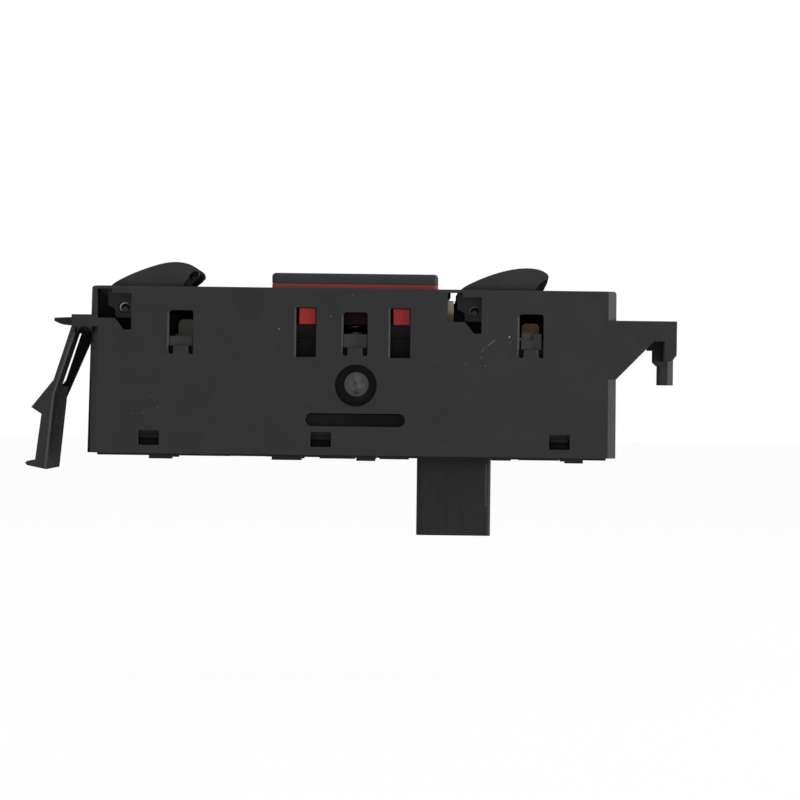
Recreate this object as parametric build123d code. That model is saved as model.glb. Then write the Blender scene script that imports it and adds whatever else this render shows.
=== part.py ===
from build123d import *
import math
import os

# Power window switch module for a vehicle console, in millimetres.
# X runs along the housing, +Z is up and the seat plane under the console is Z = 0.
# The clip arm is at the -X end and the hook bracket at the +X end.

# Shell
wall = 1.8
deck_thickness = 1.6
rim_above_seat = 5.95
corner_chamfer = 1.7
edge_radius = 0.6
left_end_lean = 0.6
right_end_lean = 0.15
right_margin = 10.6

# Levers
lever_width = 21.8
lever_side_gap = 0.3
lever_rear_room = 4.8
lever_front_room = 16.7
lever_skin = 1.4
lever_cheek = 1.5
lever_nose_undercut = 1.7
pivot_below_rim = 4.35
pivot_radius = 1.0
pivot_fit = 0.05
pivot_recess = 0.5
bore_chamfer = 0.25
lever_swing_deg = 8.0
finger_width = 1.6
finger_depth = 3.0
finger_tip_radius = 1.1
window_rear = 5.4
window_rear_top = 3.7
window_step = 2.4
window_front_top = 2.8
window_front = 1.55
window_rear_foot = 2.25
window_front_foot = 4.6
window_slope_start = 1.85
cheek_top = 3.8
cheek_foot = 2.15
cheek_round = 0.5
skirt_above_pivot = 3.1
undercut_start = 12.4
spring_lug_gap = 0.6
spring_lug_height = 1.2
spring_side_gap = 0.7

# Side view of a lever from its pivot: back, nose, cheek and undercut
lever_back = [(-3.4, 3.7), (-0.4, 5.85), (4.9, 7.95), (10.8, 8.95), (14.4, 8.2), (15.2, 6.9)]
lever_nose = [(15.2, 6.9), (15.0, 6.0), (14.1, 4.2)]
lever_foot_back = 0.2
cheek_rear = [(-3.4, 0.4), (-1.9, -0.4)]
cheek_front = [3.0, 5.5]
undercut_bow = [(12.6, 4.7), (13.5, 5.9), (15.3, 7.0)]
left_lever_back = [(-3.4, 3.7), (-0.4, 5.96), (4.9, 8.2), (10.8, 9.37), (14.3, 8.4), (15.2, 6.8)]
left_lever_nose = [(15.2, 6.8), (14.75, 6.05), (13.4, 4.9)]
left_undercut_bow = [(11.9, 4.9), (12.7, 6.2), (14.0, 7.5)]

# Push button
button_length = 34.0
button_gap = 0.3
button_rise = 3.09
button_cap_height = 2.09
button_corner = 0.9
button_top_round = 0.8
button_wall = 1.4
button_stroke = 2.5
skirt_below_rim = 7.35
shadow_line = 0.2
skirt_inset = 1.6
skirt_step_below_rim = 1.0
left_bridge = 13.1
right_bridge = 2.25
tab_from_centre = 9.6
tab_width = 3.3
tab_height = 3.2
tab_setback = 0.25
guide_slot_width = 4.1
guide_slot_shift = -0.25
guide_slot_height = 10.1

# Carrier, board and floor, down from the rim
carrier_below_rim = 10.15
carrier_thickness = 1.9
carrier_edge_gap = 0.25
board_room = 11.9
board_thickness = 1.6
board_edge_gap = 0.4
floor_room = 7.5
floor_thickness = 1.5
floor_proud = 0.45
fit_gap = 0.15

# Latches in the long walls
latch_window_width = 4.95
latch_window_top_below_rim = 4.85
latch_slot_width = 0.92
latch_slot_depth = 1.75
latch_nose_widths = [4.75, 4.75, 4.1]
nose_step_width = 1.7
nose_step_rise = 1.3
latch_nose_setback = 0.4
latch_round = 0.6
edge_break = 0.35
middle_nose_rise = 0.8
latch_from_pivot = 11.75
latch_from_button = 0.2
snap_window_width = 4.2
snap_window_height = 3.0
snap_window_above_edge = 1.7
snap_nose_reach = 1.2
snap_from_left = 11.95
snap_from_button = 6.65
snap_from_right = 11.4

# Marks on the front wall
gate_radius = 4.3
gate_disc_radius = 2.5
gate_depth = 1.2
gate_disc_setback = 0.3
gate_disc_shift = (0.15, 0.25)
gate_below_rim = 19.8
long_slot_length = 20.4
long_slot_height = 2.7
long_slot_below_rim = 26.85
long_slot_from_button = 0.3

# Clip arm
flange_thickness = 2.4
flange_reach = 4.0
lug_reach = 4.4
lug_width = 9.0
lug_thickness = 1.5
lug_drop = 0.35
arm_thickness = 1.3
arm_lean = 3.5
arm_knee_drop = 11.0
barb_reach = 4.5
barb_drop = 5.65
barb_step = 2.1
barb_step_drop = 1.35
arm_drop = 29.8
arm_toe_width = 2.3
arm_foot_lean = 1.2
arm_toe_heel_drop = 0.9
arm_inner_knee = (0.2, 3.0)
foot_reach = 2.0
foot_height = 1.0
arm_window_from_front = 9.2
arm_window_width = 14.8
arm_rib_thickness = 1.5
arm_rib_foot_drop = 3.8
arm_window_drop = 11.2
arm_window_top_drop = 1.1
arm_edge_break = 0.45
foot_round = 0.4
lug_tip_height = 0.7
lug_tip_slope = 1.4
lug_sag = 0.2

# Hook bracket
hook_reach = 12.3
hook_plate = 2.5
hook_drop = 8.1
web_thickness = 2.0
web_root_drop = 12.0
web_mouth_drop = 4.1
hook_leg_drop = 13.0
hook_leg_width = 8.0
hook_leg_thickness = 2.9
hook_leg_proud = 0.15
leg_rib_length = 1.25
leg_rib_drop = 9.0
leg_rib_chamfer = 0.8
hook_leg_chamfer = 1.25
hook_toe_height = 1.2
hook_toe_length = 0.9
web_mouth_length = 2.1
leg_root_length = 2.4
leg_root_drop = 1.7
join = 0.2

# Sliders and the parts inside
slider_behind = 2.3
slider_ahead = 6.4
slider_half_width = 3.4
slider_flange = 1.1
slider_flange_height = 1.3
slider_height = 3.3
slider_above_board = 1.4
slider_slot_play = 0.18
rail_thickness = 1.3
running_gap = 0.2
tower_thickness = 1.5
tower_radius = 1.8
tower_rear = 3.9
tower_rear_rise = 2.1
spring_stub_radius = 2.0
spring_strip = 0.4
spring_width = 1.8
pad_thickness = 0.1
wiper_thickness = 0.25
wiper_width = 4.0
wiper_heel = 0.6
wiper_bend = 0.4
wiper_bend_drop = 0.5
wiper_tip_rise = 0.35
pad_length = 2.2
pad_side = 0.3
pad_pitch_gap = 0.1
spring_leg_gap = 0.3
spring_peg_height = 1.1

stem_radius = 2.5
switch_size = 8.4
switch_height = 8.5
plunger_size = 3.0
plunger_play = 0.1
plunger_grip = 3.0
coil_radius = 3.2
coil_wire = 0.5
coil_turns = 7
stem_gap = 0.4
switch_floor = 0.7
switch_corner = 0.4
terminal_pitch = 2.5
terminal_width = 0.6
terminal_reach = 1.4
terminal_thickness = 0.2

guide_length = 3.6
guide_width = 14.0
guide_below_rim = 6.6
lamp_height = 1.0
lamp_size = 2.0
strip_guide_thickness = 1.2
strip_guide_below_rim = 2.25
strip_guide_from_deck = 0.55
strip_guide_end_gap = 0.8
left_guide_shift = 0.85
guide_collar = 0.6
guide_holder_wall = 1.2
guide_holder_height = 4.6
guide_screen_height = 5.9
guide_screen_reach = 2.2
guide_screen_lap = 0.5
skirt_rail_drop = 3.6
skirt_rail_thickness = 1.2
button_rail_height = 6.0
button_rail_thickness = 1.3
button_rail_start = 5.0
button_rail_end = 13.5

# Connector
shroud_length = 15.2
shroud_width = 11.2
shroud_wall = 1.3
shroud_drop = 15.9
shroud_from_right_wall = 32.7
pin_size = 0.64
pin_pitch = 1.8
pin_rows = 2
pin_columns = 6
pin_tip_inside = 5.0
pin_fit = 0.03
post_radius = 1.5
peg_radius = 0.8
peg_gap = 0.1
post_from_side = 2.7
pin_above_board = 0.8
shroud_corner = 0.8
key_width = 3.0
key_height = 2.5
key_from_end = 3.0
key_reach = 0.9
pad_inward = 2.5
tab_spare = 0.3
tab_nose_step = 0.6
tab_thickness = 1.2
tab_past_window = 0.5
pad_deep = 0.65
pad_shallow = 0.25
left_pad_inset = 14.3
left_pad_length = 4.7
post_pad_offset = 13.6
post_pad_length = 6.1
wide_pad_offset = 3.2
wide_pad_length = 7.3
key_pad_offset = 2.6
key_pad_length = 3.9
slot_pad_offset = 8.4
slot_pad_length = 6.0
third_pad_inset = 23.2
third_pad_length = 4.0
long_pad_inset = 15.5
long_pad_length = 8.2
end_pad_inset = 8.3
end_pad_length = 3.7
recess_from_button = 21.5
recess_length = 7.4

# Board parts: length, width, height
resistor_size = (1.6, 0.8, 0.5)
capacitor_size = (2.0, 1.25, 1.1)
chip_size = (8.6, 3.9, 1.5)
chip_from_button = 23.0
resistor_count = 6
resistor_from_button = 8.0
resistor_row_start = 6.0
resistor_pitch = 2.4
capacitor_count = 3
capacitor_from_button = 14.0
capacitor_pitch = 3.4
capacitor_row_y = 3.5
left_strip_lamp = 9.0
right_strip_lamp = 10.5
strip_lamp_y = 4.5
chip_legs = 7
chip_leg_pitch = 1.27
chip_leg_width = 0.4
chip_leg_reach = 1.05
chip_clearance = 0.15

# Heights that follow
rim_z = rim_above_seat
deck_z = rim_z - deck_thickness
pivot_z = rim_z - pivot_below_rim
plate_top = rim_z - carrier_below_rim
plate_bottom = plate_top - carrier_thickness
board_top = plate_bottom - board_room
board_bottom = board_top - board_thickness
floor_top = board_bottom - floor_room
floor_bottom = floor_top - floor_thickness
edge_z = floor_bottom + floor_proud
shell_height = rim_z - edge_z

# Places along X that follow, counted from the left end and then centred
left_pivot = wall + lever_rear_room
button_start = left_pivot + lever_front_room + left_bridge
right_deck_end = button_start + button_length + 2 * button_gap + right_bridge
right_pivot = right_deck_end + lever_rear_room
housing_length = right_pivot + lever_front_room + right_margin + wall
centre = housing_length / 2
left_pivot_x = left_pivot - centre
right_pivot_x = right_pivot - centre
button_x = button_start + button_gap + button_length / 2 - centre
half_length = housing_length / 2
inner_half = lever_width / 2 + lever_side_gap
outer_half = inner_half + wall
pivots = {"left": left_pivot_x, "right": right_pivot_x}
latch_xs = [
    left_pivot_x + latch_from_pivot,
    button_x + latch_from_button,
    right_pivot_x + latch_from_pivot,
]
snap_xs = [-half_length + snap_from_left, button_x - snap_from_button, half_length - snap_from_right]
long_slot_x = button_x + long_slot_from_button
shroud_x = half_length - shroud_from_right_wall
post_xs = [left_pivot_x + 4.5, button_x - 12.5, shroud_x - 6.5, half_length - 9.5]
post_y = inner_half - post_from_side

# Slider level and the finger that moves it
slider_bottom = board_top + slider_above_board
slider_top = slider_bottom + slider_height
finger_tip_z = slider_bottom + slider_height / 2
finger_reach = pivot_z - finger_tip_z
slider_travel = finger_reach * math.radians(lever_swing_deg)

past = 1.0


def block(x0, x1, y0, y1, z0, z1):
    """A box between two corners."""
    size = Box(x1 - x0, y1 - y0, z1 - z0)
    return Pos((x0 + x1) / 2, (y0 + y1) / 2, (z0 + z1) / 2) * size


def across(face, y0, y1):
    """A face drawn in X and Z, made solid from y0 to y1."""
    return Pos(0, y1, 0) * extrude(Plane.XZ * face, amount=y1 - y0)


def outline(*points):
    """A closed face with straight sides."""
    return make_face(Polyline(*points, close=True))


def post(x, y, radius, z0, z1):
    """An upright round post."""
    return Pos(x, y, (z0 + z1) / 2) * Cylinder(radius, z1 - z0)


def shaft(x, z, radius, y0, y1):
    """A round bar along Y."""
    return Pos(x, (y0 + y1) / 2, z) * Rot(90, 0, 0) * Cylinder(radius, y1 - y0)


def both_sides(solid):
    """The solid and its mirror image across the middle plane."""
    return solid + mirror(solid, about=Plane.XZ)


def through_walls(face):
    """A cutter for the same window in both long walls."""
    return both_sides(across(face, -outer_half - past, -inner_half))


def end_x(side, z):
    """The outer X of an end wall, which leans out towards the bottom."""
    lean = left_end_lean if side < 0 else right_end_lean
    return side * (half_length + lean * (rim_z - z) / shell_height)


def shell_face(inset, top, bottom):
    """The long view of the shell, moved in by an even inset."""
    return outline(
        (end_x(-1, top) + inset, top),
        (end_x(1, top) - inset, top),
        (end_x(1, bottom) - inset, bottom),
        (end_x(-1, bottom) + inset, bottom),
    )


def from_pivot(x, points):
    """Points given from a pivot, in the row's own X and Z."""
    return [(x + dx, pivot_z + dz) for dx, dz in points]


def pivot_window(x):
    """The stepped window that shows a lever's cheek and its pivot."""
    return outline(*from_pivot(x, [
        (-window_rear, window_rear_top),
        (-window_step, window_rear_top),
        (-window_step, window_front_top),
        (window_front, window_front_top),
        (window_front, -window_front_foot),
        (0, -window_front_foot),
        (-window_slope_start, -window_rear_foot),
        (-window_rear, -window_rear_foot),
    ]))


def latch_window(x):
    """A window with a slot down each side, which frees the tongue between them."""
    half = latch_window_width / 2
    top = rim_z - latch_window_top_below_rim
    window = Pos(x, (top + plate_bottom) / 2) * Rectangle(2 * half, top - plate_bottom)
    window = fillet(window.vertices().group_by(Axis.Y)[-1], latch_round)
    for side in (-1, 1):
        slot_x = x + side * (half - latch_slot_width / 2)
        slot = Rectangle(latch_slot_width, 2 * latch_slot_depth)
        slot = fillet(slot.vertices(), latch_slot_width * 0.42)
        window = window + Pos(slot_x, plate_bottom) * slot
    return window


def tab_x(side):
    """The X of a button guide tab and of its slot."""
    return button_x + side * tab_from_centre


def tab_top():
    """The top of the guide tabs, which stops under the top of their slots."""
    return rim_z - skirt_below_rim + tab_height


def guide_slot(side):
    """The upright slot that a button tab runs in."""
    top = tab_top() + fit_gap
    middle = top - guide_slot_height / 2
    return Pos(tab_x(side) + guide_slot_shift, middle) * Rectangle(guide_slot_width, guide_slot_height)


def edge_breaks():
    """Small chamfers on the upright window edges that look towards the bracket end."""
    low = plate_bottom - latch_slot_depth + latch_slot_width / 2
    edges = []
    for x in latch_xs:
        half = latch_window_width / 2
        edges.append((x - half, low, rim_z - latch_window_top_below_rim - latch_round))
        edges.append((x + half - latch_slot_width, low, plate_bottom - edge_break / 2))
    for side in (-1, 1):
        top = tab_top() + fit_gap
        edges.append((tab_x(side) + guide_slot_shift - guide_slot_width / 2, top - guide_slot_height, top))
    size = edge_break * math.sqrt(2)
    prisms = [
        Pos(x, -outer_half, (below + above) / 2) * Rot(0, 0, 45) * Box(size, size, above - below)
        for x, below, above in edges
    ]
    return [cutter for prism in prisms for cutter in (prism, mirror(prism, about=Plane.XZ))]


def snap_window(x):
    """The window that a base cover nose catches in."""
    middle = edge_z + snap_window_above_edge + snap_window_height / 2
    return Pos(x, middle) * Rectangle(snap_window_width, snap_window_height)


def clip_arm():
    """The sprung arm at the left end: a flange, a barbed plate and its release foot."""
    root_x = -half_length - flange_reach
    knee_x = root_x - arm_lean
    knee_z = -flange_thickness - arm_knee_drop
    barb_x = knee_x - barb_reach
    barb_z = knee_z - barb_drop
    heel_x = barb_x + barb_step
    heel_z = barb_z - barb_step_drop
    toe_x = heel_x - arm_foot_lean
    toe_z = -arm_drop
    inner_knee_x = knee_x + arm_inner_knee[0]
    inner_knee_z = knee_z - arm_inner_knee[1]
    tip_x = toe_x - foot_reach
    sag = foot_height / 10
    profile = outline(
        (root_x, -flange_thickness / 2),
        (root_x, -flange_thickness),
        (knee_x, knee_z),
        (barb_x, barb_z),
        (heel_x, heel_z),
        (toe_x, toe_z),
        (tip_x + foot_round, toe_z - 2 * sag),
        (tip_x, toe_z - foot_height / 2 - sag),
        (tip_x + foot_round, toe_z - foot_height - sag),
        (toe_x + arm_toe_width, toe_z - foot_height - arm_toe_heel_drop),
        (inner_knee_x, inner_knee_z),
        (root_x + arm_thickness, -flange_thickness),
        (root_x + arm_thickness, -flange_thickness / 2),
    )
    arm = across(profile, -outer_half, outer_half)
    ridge = [
        (toe_x + arm_toe_width, toe_z - foot_height - arm_toe_heel_drop),
        (inner_knee_x, inner_knee_z),
        (root_x + arm_thickness, -flange_thickness),
    ]
    middles = [Vector((a + c) / 2, side * outer_half, (b + d) / 2)
               for (a, b), (c, d) in zip(ridge, ridge[1:]) for side in (-1, 1)]
    edges = arm.edges().filter_by(lambda e: any((e @ 0.5 - middle).length < join for middle in middles))
    arm = chamfer(edges, arm_edge_break)
    window_top = -flange_thickness - arm_window_top_drop
    arm -= block(
        barb_x, root_x + 2 * arm_thickness,
        -outer_half + arm_window_from_front, -outer_half + arm_window_from_front + arm_window_width,
        window_top - arm_window_drop, window_top,
    )
    arm += across(
        outline(
            (root_x + arm_thickness - join, -flange_thickness),
            (root_x + arm_thickness + arm_rib_thickness, -flange_thickness),
            (inner_knee_x - join, knee_z - arm_rib_foot_drop),
            (knee_x + join, knee_z),
        ),
        -outer_half + arm_window_from_front + arm_window_width, outer_half,
    )
    flange = block(root_x, -half_length + corner_chamfer - join / 2, -outer_half, outer_half, -flange_thickness, 0)
    arch_radius = (flange_reach - arm_thickness) / 2
    arch = shaft(root_x + arm_thickness + arch_radius, -flange_thickness - arch_radius,
                 arch_radius, -outer_half, outer_half)
    gusset = block(root_x + arm_thickness - join, -half_length + join, -outer_half, outer_half,
                   -flange_thickness - arch_radius, -flange_thickness)
    lug = across(
        outline(
            (root_x, -lug_drop),
            (root_x - lug_reach, -lug_drop - lug_sag),
            (root_x - lug_reach, -lug_drop - lug_sag - lug_tip_height),
            (root_x - lug_reach + lug_tip_slope, -lug_drop - lug_thickness),
            (root_x + join, -lug_drop - lug_thickness - lug_sag),
            (root_x + join, -lug_drop),
        ),
        -lug_width / 2, lug_width / 2,
    )
    return arm + flange + (gusset - arch) + lug


def hook_bracket():
    """The fixed bracket at the right end: two webs, a seat plate, an end plate and a leg."""
    start = half_length - corner_chamfer
    end = half_length + hook_reach
    plate_x = end - hook_plate
    web = across(
        outline(
            (start, 0),
            (end, 0),
            (end, -hook_drop + hook_toe_height),
            (end - hook_toe_length, -hook_drop),
            (plate_x, -hook_drop),
            (plate_x, -web_mouth_drop),
            (plate_x - web_mouth_length, -web_mouth_drop),
            (half_length, -web_root_drop),
            (start, -web_root_drop),
        ),
        -outer_half, -outer_half + web_thickness,
    )
    seat = block(start, end, -outer_half, outer_half, -flange_thickness, 0)
    end_plate = across(
        outline(
            (plate_x, 0),
            (end, 0),
            (end, -hook_drop + hook_toe_height),
            (end - hook_toe_length, -hook_drop),
            (plate_x, -hook_drop),
        ),
        -outer_half, outer_half,
    )
    leg_x = end + hook_leg_proud
    leg = block(leg_x - hook_leg_thickness, leg_x, -hook_leg_width / 2, hook_leg_width / 2,
                -hook_leg_drop, -hook_drop / 2)
    leg = chamfer(leg.edges().filter_by(Axis.Z).group_by(Axis.X)[-1], hook_leg_chamfer)
    root = block(plate_x - leg_root_length, plate_x + join, -hook_leg_width / 2, hook_leg_width / 2,
                 -web_mouth_drop - leg_root_drop, -flange_thickness / 2)
    root += across(
        outline(
            (plate_x - leg_rib_length, -flange_thickness / 2),
            (plate_x - leg_rib_length, -leg_rib_drop + leg_rib_chamfer),
            (plate_x - leg_rib_length + leg_rib_chamfer, -leg_rib_drop),
            (plate_x + join, -leg_rib_drop),
            (plate_x + join, -flange_thickness / 2),
        ),
        -hook_leg_width / 2, hook_leg_width / 2,
    )
    return both_sides(web) + seat + end_plate + leg + root


def make_housing():
    """The main moulding, open underneath."""
    shell = across(shell_face(0, rim_z, edge_z), -outer_half, outer_half)
    corners = shell.edges().filter_by(lambda e: abs(e.tangent_at(0).Z) > 0.9)
    shell = chamfer(corners, corner_chamfer)
    shell = fillet(shell.faces().sort_by(Axis.Z)[-1].edges(), edge_radius)
    shell -= across(shell_face(wall, deck_z, edge_z - past), -inner_half, inner_half)
    for x in (left_pivot_x, right_pivot_x):
        shell -= block(x - lever_rear_room, x + lever_front_room, -inner_half, inner_half,
                       deck_z - past, rim_z + past)
    button_half = button_length / 2 + button_gap
    shell -= block(button_x - button_half, button_x + button_half, -inner_half, inner_half,
                   deck_z - past, rim_z + past)
    for x in (left_pivot_x, right_pivot_x):
        shell -= through_walls(pivot_window(x))
    for x in latch_xs:
        shell -= through_walls(latch_window(x))
    for side in (-1, 1):
        shell -= through_walls(guide_slot(side))
    for x in snap_xs:
        shell -= through_walls(snap_window(x))
    for cutter in edge_breaks():
        shell -= cutter
    slot = Pos(long_slot_x, rim_z - long_slot_below_rim) * SlotOverall(long_slot_length, long_slot_height)
    shell -= across(slot, -outer_half - past, -inner_half)
    ring = Circle(gate_radius) - Pos(*gate_disc_shift) * Circle(gate_disc_radius)
    gate = Pos(button_x + 0.4, rim_z - gate_below_rim)
    shell -= across(gate * ring, -outer_half - past, -outer_half + gate_depth)
    shell -= across(gate * Circle(gate_radius), -outer_half - past, -outer_half + gate_disc_setback)
    shell -= block(right_pivot_x - window_rear, right_pivot_x - window_step, inner_half, outer_half + past,
                   pivot_z + window_rear_top - join, rim_z + past)
    body = shell + clip_arm() + hook_bracket()
    return body - through_walls(pivot_window(left_pivot_x))


def lever_face(x, low, back, nose):
    """The side view of a lever down to a given height over the pivot."""
    rear = back[0]
    top = Spline(*from_pivot(x, back), tangents=[(0.75, 1), (-0.1, -1)])
    foot_x = nose[-1][0] - lever_foot_back
    rest = from_pivot(x, nose + [(foot_x, low), (rear[0], low), rear])
    return make_face(top + Polyline(*rest))


def cheek_face(x):
    """A lever cheek around its pivot, with the notch at its lower rear corner."""
    rear_x = cheek_rear[0][0]
    notch_x = cheek_rear[1][0]
    points = [(rear_x, cheek_top), *cheek_rear, (notch_x, -cheek_foot), (cheek_front[0], -cheek_foot),
              (cheek_front[1], cheek_top)]
    cheek = outline(*from_pivot(x, points))
    return fillet(cheek.vertices().group_by(Axis.Y)[0], cheek_round)


def undercut_face(x, points):
    """The bow cut under a lever's nose at both sides."""
    bow = from_pivot(x, points)
    under = pivot_z + skirt_above_pivot - past
    beyond = bow[2][0] + past
    rest = [bow[2], (beyond, bow[2][1]), (beyond, under), (bow[0][0], under), bow[0]]
    return make_face(ThreePointArc(*bow) + Polyline(*rest))


def lever_finger(x):
    """The finger that reaches down to the slider, with its round tip."""
    half = finger_width / 2
    root_z = pivot_z + 1.5 * finger_width
    side_view = outline(
        (x - half, finger_tip_z),
        (x + half, finger_tip_z),
        (x + half, root_z),
        (x + finger_depth, pivot_z + 2 * finger_depth),
        (x - half, pivot_z + 1.6 * finger_depth),
    )
    finger = across(side_view, -finger_depth / 2, finger_depth / 2)
    return finger + shaft(x, finger_tip_z, finger_tip_radius, -finger_depth / 2, finger_depth / 2)


def make_lever(x, back, nose, bow):
    """A window lever: a skin, two cheeks, a finger to its slider and a spring lug."""
    half = lever_width / 2
    low = skirt_above_pivot
    body = across(lever_face(x, low, back, nose), -half, half)
    hollow = offset(lever_face(x, low - 3 * lever_skin, lever_back, lever_nose), -lever_skin)
    body -= across(hollow, -half + lever_cheek, half - lever_cheek)
    body += both_sides(across(cheek_face(x), -half, -half + lever_cheek))
    body -= both_sides(across(undercut_face(x, bow), -half - past, -half + lever_nose_undercut))
    wall_x = x + undercut_start
    body += block(wall_x - lever_skin, wall_x + lever_skin / 2, -half + lever_skin, half - lever_skin,
                  pivot_z + low, pivot_z + lever_back[5][1])
    body += lever_finger(x)
    lug_z = pivot_z - spring_stub_radius - spring_lug_gap
    body += block(x - spring_stub_radius, x + spring_stub_radius, 0, spring_y()[1],
                  lug_z - spring_lug_height, lug_z)
    radius = pivot_radius + pivot_fit
    bore = shaft(x, pivot_z, radius, -half - past, -half + lever_cheek + past)
    bore += Pos(x, -half + bore_chamfer / 2, pivot_z) * Rot(90, 0, 0) * Cone(
        radius, radius + bore_chamfer, bore_chamfer)
    return body - both_sides(bore)


def spring_y():
    """The near and far Y of a lever's return spring."""
    start = finger_depth / 2 + spring_side_gap
    return start, start + spring_width


def make_return_spring(x):
    """A formed strip over the spring stub, with a leg down each side of the lever's lug."""
    inner = spring_stub_radius
    outer = inner + spring_strip
    leg_end = plate_top + spring_leg_gap
    height = pivot_z - leg_end
    loop = Pos(x, pivot_z) * (Circle(outer) - Circle(inner))
    loop &= Pos(x, pivot_z + outer / 2) * Rectangle(2 * outer, outer)
    strip = loop
    for side in (-1, 1):
        leg_x = x + side * (inner + spring_strip / 2)
        strip += Pos(leg_x, pivot_z - height / 2) * Rectangle(spring_strip, height)
    return across(strip, *spring_y())


def make_slider(x):
    """The block that carries a wiper along the board, moved by the lever's finger."""
    reach = slider_half_width
    body = block(x - slider_behind, x + slider_ahead, -reach, reach, slider_bottom, slider_top)
    wide = reach + slider_flange
    body += block(x - slider_behind, x + slider_ahead, -wide, wide,
                  slider_bottom, slider_bottom + slider_flange_height)
    slot_half = finger_tip_radius + slider_slot_play
    slot_reach = finger_depth / 2 + running_gap
    return body - block(x - slot_half, x + slot_half, -slot_reach, slot_reach,
                        slider_bottom - past, slider_top + past)


def make_wiper(x):
    """A bent copper strip under a slider, sprung down onto the contact pads."""
    top = slider_bottom
    start = x + slider_behind
    end = x + slider_ahead
    low = board_top + pad_thickness + wiper_thickness / 2
    middle = (start + end) / 2
    line = Polyline(
        (start, top - wiper_thickness / 2),
        (end - wiper_heel, top - wiper_thickness / 2),
        (end - wiper_heel / 3, top - wiper_bend_drop),
        (middle + wiper_bend, low),
        (middle - wiper_heel, low + wiper_tip_rise),
    )
    strip = make_face(offset(line, wiper_thickness / 2, side=Side.BOTH, kind=Kind.INTERSECTION))
    return across(strip, -wiper_width / 2, wiper_width / 2)


def make_contact_pads():
    """Three gold pads under each wiper, one solid each."""
    pads = []
    reach = wiper_width / 2 + pad_side
    for x in pivots.values():
        contact = x + (slider_behind + slider_ahead) / 2 + wiper_bend
        for step in (-1, 0, 1):
            middle = contact + step * (slider_travel + pad_pitch_gap)
            pads.append(block(middle - pad_length / 2, middle + pad_length / 2, -reach, reach,
                              board_top, board_top + pad_thickness))
    return Compound(pads)


def guide_xs():
    """The X of the two lamp guides, behind the outer latch windows."""
    return latch_xs[0] + left_guide_shift, latch_xs[2]


def make_light_guide(x):
    """A translucent block from its lamp up to the space under the lever."""
    top = rim_z - guide_below_rim
    bottom = board_top + lamp_height + running_gap
    half = guide_width / 2
    body = block(x - guide_length / 2, x + guide_length / 2, -half, half, bottom, top)
    body = fillet(body.edges().filter_by(Axis.Y).group_by(Axis.Z)[-1], 1.0)
    collar_half = guide_length / 2 + guide_collar
    collar = block(x - collar_half, x + collar_half, -half, half, plate_top, plate_top + guide_collar)
    return body + collar


def strip_guide_x():
    """The middle of the thin light guide between the button and the right lever."""
    return right_pivot_x - lever_rear_room - strip_guide_from_deck + strip_guide_thickness / 2


def make_strip_guide():
    """A thin translucent sheet that stands in the carrier beside the button."""
    x = strip_guide_x()
    half = strip_guide_thickness / 2
    reach = inner_half - strip_guide_end_gap
    return block(x - half, x + half, -reach, reach, plate_bottom, rim_z - strip_guide_below_rim)


def make_carrier():
    """The inner frame: a plate with latch noses, pivot towers, slider rails and board posts."""
    edge_y = inner_half - carrier_edge_gap
    left = end_x(-1, plate_top) + wall + carrier_edge_gap
    right = end_x(1, plate_top) - wall - carrier_edge_gap
    plate = block(left, right, -edge_y, edge_y, plate_bottom, plate_top)
    for x, width in zip(latch_xs, latch_nose_widths):
        plate += both_sides(latch_nose(x, width, -edge_y + wall, plate_top))
    plate += both_sides(latch_nose(latch_xs[1], latch_nose_widths[1], -edge_y - carrier_edge_gap / 2,
                                   plate_top + middle_nose_rise))
    step_x = latch_xs[2] + (latch_nose_widths[2] - nose_step_width) / 2
    plate += both_sides(latch_nose(step_x, nose_step_width, -edge_y - carrier_edge_gap / 2,
                                   plate_top + nose_step_rise))
    swing = math.sin(math.radians(lever_swing_deg))
    for x in pivots.values():
        sweep_half = finger_width / 2 + (pivot_z - plate_bottom) * swing + 2 * carrier_edge_gap
        hole_y = finger_depth / 2 + 2 * running_gap
        plate -= block(x - sweep_half, x + sweep_half, -hole_y, hole_y, plate_bottom - past, plate_top + past)
    for x in guide_xs():
        plate -= block(x - guide_length / 2 - fit_gap, x + guide_length / 2 + fit_gap,
                       -guide_width / 2 - fit_gap, guide_width / 2 + fit_gap,
                       plate_bottom - past, plate_top + past)
    slack = fit_gap / 3
    strip_half = strip_guide_thickness / 2 + slack
    strip_y = inner_half - strip_guide_end_gap + slack
    plate -= block(strip_guide_x() - strip_half, strip_guide_x() + strip_half, -strip_y, strip_y,
                   plate_bottom - past, plate_top + past)
    plate -= post(button_x, 0, stem_radius + button_gap, plate_bottom - past, plate_top + past)
    for x in pivots.values():
        plate += pivot_towers(x) + slider_rails(x)
    for x in guide_xs():
        plate += guide_holder(x)
    plate += both_sides(block(left + past, right - past, -edge_y, -edge_y + skirt_rail_thickness,
                              plate_bottom - skirt_rail_drop, plate_bottom))
    plate += button_rails()
    for x in post_xs:
        for side in (-1, 1):
            plate += post(x, side * post_y, post_radius, board_top, plate_bottom)
            plate += post(x, side * post_y, peg_radius, board_bottom, board_top)
    return plate


def latch_nose(x, width, inner_y, top):
    """The nose under one latch tongue's slots, from the front face inwards."""
    half = width / 2
    return block(x - half, x + half, -outer_half + latch_nose_setback, inner_y, plate_bottom, top)


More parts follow.
